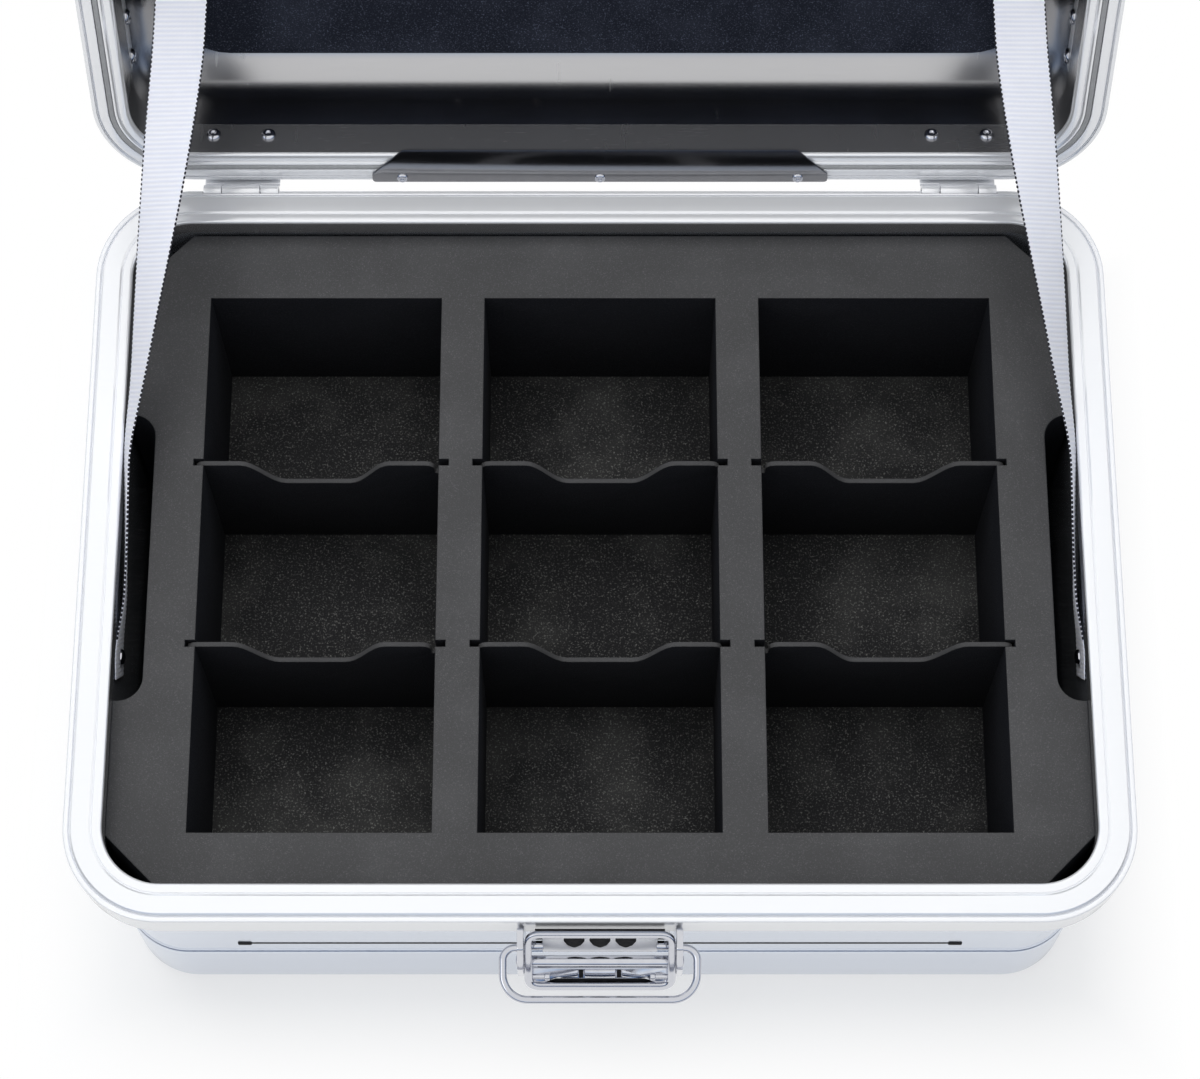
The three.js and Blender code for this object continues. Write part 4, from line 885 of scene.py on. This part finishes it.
class StayPath:
    """The middle line of a stay and how it is turned, by the length s from its lower screw."""

    def __init__(self):
        seat_z = LID_FACE + BRACKET_RISE - CLEAR - STAY_SHEET / 2
        self.top = opened(reach(STAY_TOP_REACH), seat_z)
        self.end = opened(reach(STAY_TOP_REACH + STAY_SEAT), seat_z)
        self.length = (self.top - STAY_START).length
        self.run = (self.top - STAY_START).normalized()
        self.seat_run = (self.end - self.top).normalized()
        self.bend = 9
        before, after, step, window = 20, 60, 2.0, 13
        # Length from the screw, place across, and turn in degrees
        knots = [(-before, STAY_WALL_X, 0), (9, STAY_WALL_X, 0), (30, 276.2, 5), (60, 275.4, 9),
                 (121, 274.7, 14), (161, 268.0, 23), (207, 262.0, 37), (241, 257.3, 49), (271, 253.2, 60),
                 (322, 246.6, 80), (350, 243.2, 90), (self.length, STAY_TOP_X, 90),
                 (self.length + after, STAY_TOP_X, 90)]
        spots, *columns = zip(*knots)
        self.spots = np.arange(-before, self.length + after, step)
        rows = [np.pad(np.interp(self.spots, spots, column), window // 2, "edge") for column in columns]
        self.sides, self.turns = (np.convolve(row, np.ones(window) / window, "valid") for row in rows)

    def middle(self, s):
        past = s - self.length
        if past < -self.bend:
            return STAY_START + s * self.run
        if past > self.bend:
            return self.top + past * self.seat_run
        share = (past + self.bend) / (2 * self.bend)
        first = (self.top - self.bend * self.run).lerp(self.top, share)
        return first.lerp(self.top.lerp(self.top + self.bend * self.seat_run, share), share)

    def place(self, s, step=0.5):
        """Middle point, and the directions across the webbing and through it."""
        x = float(np.interp(s, self.spots, self.sides))
        turn = math.radians(float(np.interp(s, self.spots, self.turns)))
        along = (self.middle(s + step) - self.middle(s - step)).normalized()
        across_it = Vector((-math.sin(turn), -math.cos(turn) * along.y, math.cos(turn) * along.x))
        through = Vector((math.cos(turn), -math.sin(turn) * along.y, math.sin(turn) * along.x))
        y, z = self.middle(s)
        return Vector((x, y, z)), across_it, through


STAY = StayPath()
STAY_LENGTH = STAY.length + STAY_SEAT


def webbing_stay(side, name):
    """A closed band with a rib every few millimetres, its edges scalloped by the weave."""
    strips, steps_per_rib, swell, scallop = 8, 5, 0.16, 0.28
    flat_share, edge_share = 0.8, 0.55
    step, rows = RIB / steps_per_rib, []
    for row in range(int((STAY_LENGTH + STAY_TAIL) / step) + 1):
        s = -STAY_TAIL + row * step
        middle, across_it, through = STAY.place(s)
        wave = math.cos(TURN * s / RIB)
        half = STAY_WIDTH / 2 - scallop + scallop * wave
        thick = STAY_SHEET / 2 - swell + swell * wave
        section = []
        for face in (1, -1):
            for i in range(strips + 1):
                u = face * (2 * i / strips - 1)
                edge = 1 - edge_share * max(0.0, abs(u) - flat_share) / (1 - flat_share)
                section.append((half * u, face * thick * edge))
        rows.append([middle + u * across_it + v * through for u, v in section])
    count = len(rows[0])
    points = [[(side * point.x, point.y, point.z) for point in row] for row in rows]
    band = skinned(name, points, WEBBING, sharp=60)
    layer = band.data.uv_layers.new(name="Webbing")
    for loop in band.data.loops:
        row, column = divmod(loop.vertex_index, count)
        share = (column % (strips + 1)) / strips
        u = share if column <= strips else 1 - share
        layer.data[loop.index].uv = (MM * STAY_WIDTH * u, MM * row * step)
    return band


# Geometry Nodes: rivets and the threads along the webbing's edges. Their own sizes are metres.
def node_tree(name, *inputs):
    """A Geometry Nodes tree with inputs of (name, kind, value): it, what it is given and its end."""
    tree = bpy.data.node_groups.new(name, "GeometryNodeTree")
    tree.is_modifier = True
    for label, kind, value in (("Geometry", "Geometry", None), *inputs):
        socket = tree.interface.new_socket(label, in_out="INPUT", socket_type=f"NodeSocket{kind}")
        if value is not None:
            socket.default_value = value
    tree.interface.new_socket("Geometry", in_out="OUTPUT", socket_type="NodeSocketGeometry")
    return tree, tree.nodes.new("NodeGroupInput").outputs, tree.nodes.new("NodeGroupOutput").inputs[0]


def attribute(tree, name, kind):
    outputs = put(tree, "GeometryNodeInputNamedAttribute", {"Name": name}, data_type=kind)
    return next(socket for socket in outputs if socket.enabled and socket.name == "Attribute")


def facing(tree, direction):
    """The turn that points Z along a direction."""
    return put(tree, "FunctionNodeAlignRotationToVector", {"Vector": direction}, axis="Z")[0]


def sized(tree, *sizes):
    return put(tree, "ShaderNodeCombineXYZ", enumerate(sizes))[0]


def on_points(tree, **sources):
    return put(tree, "GeometryNodeInstanceOnPoints", sources)[0]


def finished(tree, instances, material, end):
    """Realizes the instances, sets their material and ends the tree."""
    real = put(tree, "GeometryNodeRealizeInstances", {0: instances})[0]
    plug(tree, put(tree, "GeometryNodeSetMaterial", {"Geometry": real, "Material": material})[0], end)
    return tree


def rivet_tree():
    """Puts a domed head, or a flat tail, on each point, facing along the point's axis."""
    tree, given, end = node_tree(
        "Button Rivets", ("Head", "Object", None), ("Tail", "Object", None), ("Head Radius", "Float", 0.0046),
        ("Head Rise", "Float", 0.0026), ("Tail Radius", "Float", 0.0034), ("Tail Rise", "Float", 0.0012),
        ("Finish", "Material", None))
    turn = facing(tree, attribute(tree, "axis", "FLOAT_VECTOR"))
    is_tail = attribute(tree, "tail", "BOOLEAN")
    is_head = put(tree, "FunctionNodeBooleanMath", {0: is_tail}, operation="NOT")[0]
    together = tree.nodes.new("GeometryNodeJoinGeometry")
    for part, chosen in (("Head", is_head), ("Tail", is_tail)):
        shape = put(tree, "GeometryNodeObjectInfo", {"Object": given[part]})["Geometry"]
        radius, rise = given[f"{part} Radius"], given[f"{part} Rise"]
        parts = on_points(tree, Points=given["Geometry"], Selection=chosen, Instance=shape, Rotation=turn,
                          Scale=sized(tree, radius, radius, rise))
        plug(tree, parts, together.inputs[0])
    return finished(tree, together.outputs[0], given["Finish"], end)


def thread_tree():
    """Lays a short stitch at every pitch along each line of points."""
    tree, given, end = node_tree(
        "Edge Stitches", ("Pitch", "Float", 0.0027), ("Stitch Length", "Float", 0.0021),
        ("Thread Radius", "Float", 0.00065), ("Finish", "Material", None))
    half, radius = 0.5, given["Thread Radius"]
    line = put(tree, "GeometryNodeMeshToCurve", {0: given["Geometry"]})[0]
    spacing = {"Curve": line, "Length": given["Pitch"]}
    spaced = put(tree, "GeometryNodeResampleCurve", spacing, mode="LENGTH")[0]
    stitch = put(tree, "GeometryNodeMeshUVSphere", {"Segments": 6, "Rings": 4, "Radius": 1.0})[0]
    stitches = on_points(
        tree, Points=spaced, Instance=stitch, Rotation=facing(tree, put(tree, "GeometryNodeInputTangent")[0]),
        Scale=sized(tree, radius, radius, times(tree, given["Stitch Length"], half)))
    return finished(tree, stitches, given["Finish"], end)


BUTTON_RIVETS = rivet_tree()
EDGE_STITCHES = thread_tree()


def grown(piece, tree, **inputs):
    """The piece with a tree's result as its plain mesh. Inputs go by their names, with _ for a space."""
    modifier = piece.modifiers.new(tree.name, "NODES")
    modifier.node_group = tree
    sockets = {item.name: item.identifier for item in tree.interface.items_tree if item.in_out == "INPUT"}
    for name, value in inputs.items():
        modifier[sockets[name.replace("_", " ")]] = value
    return applied(piece)


def turned(name, outline, steps, sharp=50):
    """A closed body turned about the Z axis from (radius, height) pairs in metres, from top to bottom."""
    points, faces = [(0, 0, outline[0][1])], []
    for radius, height in outline[1:-1]:
        points += [(x, y, height) for x, y in arc((0, 0), radius, EAST, ALL_ROUND, steps)[:-1]]
    points.append((0, 0, outline[-1][1]))
    last, rows = len(points) - 1, len(outline) - 2
    for i in range(steps):
        j = (i + 1) % steps
        faces.append((0, 1 + i, 1 + j))
        for row in range(rows - 1):
            here = 1 + row * steps
            faces.append((here + i, here + steps + i, here + steps + j, here + j))
        faces.append((last - steps + i, last, last - steps + j))
    points = [tuple(value / MM for value in point) for point in points]
    return new_piece(name, points, faces, BRIGHT_STEEL, sharp)


# A rivet's head and tail, as shares of their radius and rise
FLAT_SHARE, FOOT_SHARE, DOME_STEPS = 0.5, 0.12, 8
DOME = [(FLAT_SHARE + (1 - FLAT_SHARE) * math.sin(angle), FOOT_SHARE + (1 - FOOT_SHARE) * math.cos(angle))
        for angle in np.linspace(0, TURN / 4, DOME_STEPS)]
HEAD = [(0, 0.42), (0.2, 0.42), (0.27, 0.5), (0.3, 0.86), (0.37, 0.97)] + DOME + [(1, 0), (0, 0)]
TAIL = [(0, 1), (0.7, 1), (0.9, 0.85), (1, 0.5), (1, 0), (0, 0)]


def rivets(name, body, spots, stands_for, sharp=50, head_steps=28, tail_steps=20, **sizes):
    """Rivets at spots of (place, direction, grip). A grip of None has no tail."""
    points, axes, tails = [], [], []
    for place, direction, grip in spots:
        points.append(place)
        axes += direction
        tails.append(False)
        if grip is not None:
            points.append(tuple(p - d * grip for p, d in zip(place, direction)))
            axes += [-d for d in direction]
            tails.append(True)
    piece = new_piece(name, points, [], BRIGHT_STEEL)
    piece.data.attributes.new("axis", "FLOAT_VECTOR", "POINT").data.foreach_set("vector", axes)
    piece.data.attributes.new("tail", "BOOLEAN", "POINT").data.foreach_set("value", tails)
    head, tail = turned("head", HEAD, head_steps), turned("tail", TAIL, tail_steps)
    grown(piece, BUTTON_RIVETS, Head=head, Tail=tail, Finish=BRIGHT_STEEL,
          **{size: MM * value for size, value in sizes.items()})
    for shape in (head, tail):
        bpy.data.objects.remove(shape)
    smooth(piece, sharp)
    if body == "lid":
        swung_open(piece)
    dressed(piece, body, "polished_steel", *stands_for)


SHEET = 2  # of the hinge leaves, the latch's plate, the catch and the stay brackets
GUARD_SHEET = 1.2


def all_rivets():
    wall_y, wall_x = HALF_DEPTH - WALL_INSET, HALF_WIDTH - WALL_INSET
    grip, web_grip = SHEET + CLEAR + WALL, STAY_SHEET + CLEAR + WALL
    leaf_spread, leaf_low, leaf_rise, leg_grip = 16.5, 169, 17, RIM_WIDTH - WALL_INSET + CLEAR + SHEET
    plate_x, plate_rows, catch_x, catch_rise = 31, (171, 143), 12, 34
    flange_rise, flange_back, web_back = 6, (68, 98), 153
    screw_x, screw_y = 119, 220.4
    leaf_row = [side * HINGE_X + end * leaf_spread for side in (-1, 1) for end in (-1, 1)]
    seat, rise = LID_FACE - CLEAR - GUARD_SHEET, LID_FACE + BRACKET_RISE
    on_base = [((x, wall_y + CLEAR + SHEET, leaf_low), (0, 1, 0), grip) for x in leaf_row]
    on_base += [((side * (wall_x - web_grip), STAY_START.x, STAY_START.y), (-side, 0, 0), web_grip)
                for side in (-1, 1)]
    on_base += [((side * plate_x, -wall_y - CLEAR - SHEET, z), (0, -1, 0), grip)
                for side in (-1, 1) for z in plate_rows]
    on_lid = [((side * catch_x, -wall_y - CLEAR - SHEET, LID_FACE + catch_rise), (0, -1, 0), grip)
              for side in (-1, 1)]
    on_lid += [((x, HALF_DEPTH - RIM_WIDTH, LID_FACE + leaf_rise), (0, -1, 0), leg_grip) for x in leaf_row]
    on_lid += [((side * (wall_x - grip), reach(back), rise + flange_rise), (-side, 0, 0), grip)
               for side in (-1, 1) for back in flange_back]
    on_lid += [((side * STAY_TOP_X, reach(web_back), rise - CLEAR - STAY_SHEET), (0, 0, -1),
                STAY_SHEET + CLEAR + SHEET) for side in (-1, 1)]
    screws = [((x, screw_y, seat), (0, 0, -1), None) for x in (-screw_x, 0, screw_x)]
    named = [node for node in nodes if "rivet" in node or node.startswith("stay_screw")]
    lid_names = ("lid_hinge", "catch", "bracket", "stay_top")
    rivets("tray_rivets", "base", on_base, [node for node in named if not node.startswith(lid_names)])
    rivets("lid_rivets", "lid", on_lid, [node for node in named if node.startswith(lid_names)])
    stand_ins = [f"guard_screw_{i}" for i in (1, 2, 3)]
    rivets("guard_screws", "lid", screws, stand_ins, Head_Radius=3.3, Head_Rise=1.5)


all_rivets()


def edge_threads(side, name, first_rib=4.5, last=20, sunk=0.2, sharp=80):
    """Dark stitches in the notches of both edges of a stay."""
    points, edges = [], []
    for edge in (-1, 1):
        s, start = RIB * first_rib, len(points)
        while s < STAY.length - last:
            middle, across_it, _ = STAY.place(s)
            spot = middle + edge * (STAY_WIDTH / 2 - sunk) * across_it
            points.append((MM * side * spot.x, MM * spot.y, MM * spot.z))
            s += RIB
        edges += [(i, i + 1) for i in range(start, len(points) - 1)]
    mesh = bpy.data.meshes.new(name)
    mesh.from_pydata(points, edges, [])
    mesh.materials.append(EDGE_THREAD)
    return smooth(grown(linked(name, mesh), EDGE_STITCHES, Pitch=MM * RIB, Finish=EDGE_THREAD), sharp)


SIDES = ((-1, "left"), (1, "right"))
for side, word in SIDES:
    band = webbing_stay(side, f"stay_webbing_{word}")
    threads = edge_threads(side, f"stay_threads_{word}")
    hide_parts(f"lid_stay_{word}")
    for piece in (band, threads):
        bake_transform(piece)


# Sheet and wire pieces: hinges, guard plate, stay brackets, catch and latch
def bar(name, radius, low, high, at, material, edge=0.5, sides=28):
    return rounded_edges(face_out(rod(name, radius, low, high, at, sides, material)), edge, sharp=50)


def bent_leaf(face, up, skirt, long=45):
    """Outline of a hinge leaf, from the pin over the rim's outer part and along the wall."""
    outer, wall, under = HINGE_Y + KNUCKLE_RADIUS, HALF_DEPTH - WALL_INSET + CLEAR, skirt + CLEAR
    inner, outside = outer - SHEET, wall + SHEET
    near, over, far = (face + up * distance for distance in (under, under + SHEET, long))
    return [(outer, HINGE_Z), (outer, over), (outside, over), (outside, far), (wall, far), (wall, near),
            (inner, near), (inner, HINGE_Z)]


def hinge(side, word):
    x, half, at = side * HINGE_X, HINGE_LENGTH / 2, (HINGE_Y, HINGE_Z)
    knuckle, swing, overrun, leaf_edge, knuckle_edge = 11.2, 8.6, 1, 0.3, 0.4
    gap, open_half = knuckle + 2 * CLEAR, knuckle + CLEAR
    leaves = {
        "base": (BASE_HEIGHT, -1, BASE_SKIRT, [(-half, -gap), (gap, half)], [(-open_half, open_half)]),
        "lid": (LID_FACE, 1, RIM_BODY, [(-knuckle, knuckle)],
                [(-half - overrun, -knuckle), (knuckle, half + overrun)])}
    for body, (face, up, skirt, spans, openings) in leaves.items():
        strip = across("strip", bent_leaf(face, up, skirt), x - half, x + half, HINGE_SATIN, width=0)
        cutters = [rod("swing", swing, x + low, x + high, at) for low, high in openings]
        parts = [rounded_edges(carved(strip, *cutters), leaf_edge)]
        parts += [bar("barrel", KNUCKLE_RADIUS, x + low, x + high, at, HINGE_SATIN, knuckle_edge)
                  for low, high in spans]
        leaf = smooth(joined(f"{body}_leaf_{word}", parts), sharp=40)
        if body == "lid":
            swung_open(leaf)
        dressed(leaf, body, "rim_aluminium", f"hinge_leaf_{body}_{word}")


def guard_plate():
    half, rear, deep, corner, top = 137, HALF_DEPTH - 1, 25.5, 19, LID_FACE - CLEAR
    front = rear - deep
    outline = [(-half, rear), (-half, front + corner), (-half + corner, front), (half - corner, front),
               (half, front + corner), (half, rear)]
    outline = filleted(outline, radius=2.5, steps=5)
    plate = carried("guard_sheet", outline, top - GUARD_SHEET, top, lambda z, x, y: (x, y, z), PLATE_STEEL,
                    width=0.35)
    dressed(swung_open(plate), "lid", "polished_steel", "hinge_guard_plate")


def stay_bracket(side, word):
    low, wall, toe, high = LID_FACE + BRACKET_RISE, HALF_WIDTH - WALL_INSET - WALL - CLEAR, 223, 12
    front, back, foot_back = 166, 60, 140
    near, far = spanned(side, wall - SHEET, wall)
    flange = block("flange", (near, reach(front), low), (far, reach(back), low + high), HINGE_SATIN)
    near, far = spanned(side, toe, wall)
    foot = block("foot", (near, reach(front), low), (far, reach(foot_back), low + SHEET), HINGE_SATIN)
    whole = rounded_edges(joined(f"bracket_{word}", [face_out(flange), face_out(foot)]), width=0.5)
    dressed(swung_open(whole), "lid", "polished_steel", f"stay_bracket_{word}")


def lid_catch():
    skirt, wall = LID_FACE + RIM_BODY + CLEAR, EDGE_Y + WALL_INSET - CLEAR
    half, rise, away, hook, lip_rise = 20, 42, 1, 8, 2.6
    inner, nose, lip, top = EDGE_Y - away, EDGE_Y - hook, LID_FACE + lip_rise, LID_FACE + rise
    outer = inner - SHEET
    outline = [(wall, skirt), (wall, top), (wall - SHEET, top), (wall - SHEET, skirt + SHEET),
               (outer, skirt + SHEET), (outer, lip), (nose, lip), (nose, LID_FACE), (inner, LID_FACE),
               (inner, skirt)]
    catch = across("catch_hook", outline, -half, half, BRIGHT_STEEL, width=0.6)
    dressed(swung_open(catch), "lid", "polished_steel", "latch_catch")


for side, word in SIDES:
    hinge(side, word)
    stay_bracket(side, word)
guard_plate()
lid_catch()


# Latch: bracket with two cheeks, lever with its frame, panel and web, and the wire bail
def from_edge(*offsets):
    """Places as (y, z), from distances in front of the rims' edge and under the base's top."""
    return [(EDGE_Y - out, BASE_HEIGHT - down) for out, down in offsets]


PIVOT_AT, BAIL_AT = from_edge((15, 30), (10, 20))
LATCH_HALF, CHEEK, PIVOT_RADIUS = 46, 3.6, 3.2


def latch_bracket():
    wall, skirt, long = CLEAR - WALL_INSET, BASE_SKIRT + CLEAR, 75
    cheek = from_edge((wall, long), (wall, skirt), (1.5, skirt), (1.5, 6), (14, 6), (22, 22), (22, 38),
                      (-3, long))
    (back, low), (_, high) = cheek[:2]
    plate = block("plate", (-LATCH_HALF, back - SHEET, low), (LATCH_HALF, back, high), BRIGHT_STEEL)
    parts, rounded = [face_out(plate)], filleted(cheek, radius=2.5, steps=4)
    for side in (-1, 1):
        near, far = spanned(side, LATCH_HALF - CHEEK, LATCH_HALF)
        parts.append(across("cheek", rounded, near, far, BRIGHT_STEEL, width=0))
    frame_piece = rounded_edges(joined("latch_frame", parts), width=0.5)
    dressed(frame_piece, "base", "polished_steel", "latch_bracket")
    half = LATCH_HALF + CHEEK / 4
    axle = bar("latch_axle", PIVOT_RADIUS, -half, half, PIVOT_AT, BRIGHT_STEEL, edge=0.6, sides=40)
    dressed(axle, "base", "polished_steel", "latch_pivot_bar")


def swept(name, path, section, closed, sharp=50):
    """A section of (across, out) pairs carried along a path of (place, across, out)."""
    rows = [[place + a * aside + o * out for a, o in section] for place, aside, out in path]
    return skinned(name, rows, BRIGHT_STEEL, closed, sharp)


def flat_path(origin, down, line, closed):
    """The path through (x, s) pairs in the plane of X and a downward direction."""
    out = Vector((1, 0, 0)).cross(down).normalized()
    out *= math.copysign(1, out.z)
    last, path = len(line) - 1, []
    for i, (x, s) in enumerate(line):
        before = line[i - 1] if closed else line[max(0, i - 1)]
        after = line[(i + 1) % len(line)] if closed else line[min(last, i + 1)]
        along = Vector((after[0] - before[0], 0, 0)) + (after[1] - before[1]) * down
        path.append((origin + Vector((x, 0, 0)) + s * down, along.cross(out).normalized(), out))
    return path


def hole_cutters():
    """The lever's three holes: a nearly flat top and a pointed foot."""
    right, foot, pitch = [(3.19, 192.5), (5.8, 191.3), (5.8, 184.5), (3.596, 180.4)], (0, 178), 14.4
    behind, before = 1, 14
    shape = right + [foot] + [(-x, z) for x, z in reversed(right)]
    cutters = []
    for place in (-1, 0, 1):
        outline = filleted([(place * pitch + x, z) for x, z in shape], radius=1.6)
        cutters.append(carried("hole", outline, EDGE_Y + behind, EDGE_Y - before, lambda y, x, z: (x, y, z),
                               BRIGHT_STEEL, width=0))
    return cutters


ARM, ARM_HALF = 40, 1.6


def lever_frame():
    """A rounded loop of bar, wider and thicker towards its foot."""
    wide, wider, thick, thicker, half, deep, bend = 0.92, 0.3, 0.7, 0.5, 2, 2.2, 7
    (top_y, top_z), (foot_y, foot_z) = from_edge((5.6, 7), (26, 41))
    origin, foot = Vector((0, top_y, top_z)), Vector((0, foot_y, foot_z))
    down, length = (foot - origin).normalized(), (foot - origin).length
    line = filleted([(-ARM, 0), (ARM, 0), (ARM, length), (-ARM, length)], bend, steps=7)
    path = []
    for place, aside, out in flat_path(origin, down, line, closed=True):
        share = (top_z - place.z) / (top_z - foot.z)
        path.append((place, aside * (wide + wider * share), out * (thick + thicker * share)))
    section = filleted([(-half, -deep), (half, -deep), (half, deep), (-half, deep)], radius=1.1)
    return swept("frame", path, section, closed=True)


def latch_lever():
    cheek = from_edge((4.4, 15), (4.4, 31), (10, 36), (19, 37.5), (22, 34), (19, 25))
    cheek = filleted(cheek, radius=2.5, steps=4)
    boss_at, stub_at = from_edge((6.8, 27), (22.4, 36.2))
    inside, sheet_half = ARM - 1, 38.5
    # Name, radius, start and end from the middle, place, edge, sides
    rods = [("boss", 2.6, 31.5, inside, boss_at, 0.4, 28), ("stub", 1.7, 29, inside, stub_at, 0.3, 20),
            ("stub_head", 2.5, 28, 31, stub_at, 0.5, 20)]
    parts = [lever_frame()]
    for side in (-1, 1):
        near, far = spanned(side, ARM - ARM_HALF, ARM + ARM_HALF)
        parts.append(across("arm", cheek, near, far, BRIGHT_STEEL, width=0.4))
        for name, radius, start, end, at, edge, sides in rods:
            parts.append(bar(name, radius, *spanned(side, start, end), at, BRIGHT_STEEL, edge, sides))
    outline = from_edge((3.4, 7), (3.4, 22), (4.8, 22), (4.8, 7))
    sheet = across("sheet", outline, -sheet_half, sheet_half, BRIGHT_STEEL, width=0.3)
    parts.append(carved(sheet, *hole_cutters()))
    lever = smooth(joined("lever_handle", parts), sharp=45)
    dressed(lever, "lever", "polished_steel", "latch_lever")


def lever_panel():
    """The paler folded panel on the lever's sheet, and black fills in its three holes that stand for the
    shade in them: painted shadow.
    """
    fold = from_edge((3.6, 14), (3.6, 20.6), (8.0, 31.4), (9.8, 30.6), (5.8, 19.4), (5.4, 14))
    half, hole_shadow_half, sunk = 32, 22, 0.25
    panel = across("lever_panel", filleted(fold, radius=0.8), -half, half, PANEL_STEEL, width=0.3)
    dressed(smooth(carved(panel, *hole_cutters()), sharp=45), "lever", "polished_steel")
    # Painted shadow: black fills set into the three holes.
    behind = [(y + sunk, z) for y, z in fold]
    hole_shadows = [carved(across("plug", behind, -hole_shadow_half, hole_shadow_half, PAINTED_SHADOW_BLACK, width=0), cutter,
                    operation="INTERSECT") for cutter in hole_cutters()]
    dressed(joined("lever_plugs", hole_shadows), "lever", "seal_rubber")


def lever_web():
    """The slanted web under the pivot, its two slots and window, its tab and ribs, and black sheets behind
    the web and behind the lever's sheet that stand for the shade there: painted shadow.
    """
    start, end = (Vector(place) for place in from_edge((18.2, 32.8), (25.6, 40.2)))
    run, length = (end - start).normalized(), (end - start).length
    out = Vector((run.y, -run.x))

    def plate(name, outline, low, high, material, width=0):
        def on_web(rise, x, s):
            spot = start + s * run + rise * out
            return (x, spot.x, spot.y)
        return carried(name, outline, low, high, on_web, material, width)

    def oblong(left, right, low, high):
        return [(left, low), (right, low), (right, high), (left, high)]

    web_half, sheet_half, deep, sill, sheet_shadow_half = 38, 0.6, 3, 1.2, 36
    web = plate("web", oblong(-web_half, web_half, 0, length), -sheet_half, sheet_half, BRIGHT_STEEL)
    near, far, low, high = 9.4, 11.8, 0.8, 6.2
    slots = [oblong(side * near, side * far, low, high) for side in (-1, 1)]
    window = [(-25, 6.6), (25, 6.6), (31, length - sill), (-31, length - sill)]
    cutters = [plate("opening", outline, -deep, deep, BRIGHT_STEEL) for outline in [*slots, window]]
    parts = [rounded_edges(carved(web, *cutters), width=0.2)]
    half, low, high, sunk, tab_rise, rib_rise = 8.6, 0.9, 5.9, 0.3, 1.3, 1.0
    parts.append(plate("tab", oblong(-half, half, low, high), sunk, tab_rise, BRIGHT_STEEL, width=0.4))
    rib = [(12.4, 1.2), (12.4, 5.6), (27, 5.6)]
    for side in (-1, 1):
        parts.append(plate("rib", [(side * x, s) for x, s in rib], sunk, rib_rise, BRIGHT_STEEL, width=0.3))
    dressed(smooth(joined("lever_web", parts), sharp=40), "lever", "polished_steel")
    # Painted shadow: black sheets behind the web's openings and behind the lever's sheet.
    half, edge, behind, near = 35, 0.6, -2.4, -1.2
    pad = plate("lever_pad", oblong(-half, half, edge, length - edge), behind, near, PAINTED_SHADOW_BLACK, width=0.3)
    dressed(pad, "lever", "seal_rubber")
    outline = from_edge((2.2, 7), (2.2, 29), (3.2, 29), (3.2, 7))
    sheet_shadow = across("lever_backing", outline, -sheet_shadow_half, sheet_shadow_half, PAINTED_SHADOW_BLACK, width=0.3)
    dressed(sheet_shadow, "lever", "seal_rubber")


def wire_bail():
    half, bend, corner, long, radius, lean = 54.1, 7, 14, 28.9, 2.25, 20.7
    sides, bend_steps, corner_steps, tilt = 24, 10, 16, math.radians(lean)
    right = [(LATCH_HALF - PIVOT_RADIUS, 0)] + arc((half - bend, bend), bend, SOUTH, ALL_ROUND, bend_steps)
    right += arc((half - corner, long - corner), corner, EAST, NORTH, corner_steps)
    down = Vector((0, -math.cos(tilt), -math.sin(tilt)))
    path = flat_path(Vector((0, *BAIL_AT)), down, mirrored_outline(right), closed=False)
    section = arc((0, 0), radius, EAST, ALL_ROUND, sides)[:-1]
    dressed(swept("bail_wire", path, section, closed=False), "bail", "polished_steel", "latch_bail")


latch_bracket()
latch_lever()
lever_panel()
lever_web()
wire_bail()
for _, word in SIDES:
    for material_slot in nodes[f"hinge_pin_{word}"].material_slots:
        material_slot.material = BRIGHT_STEEL
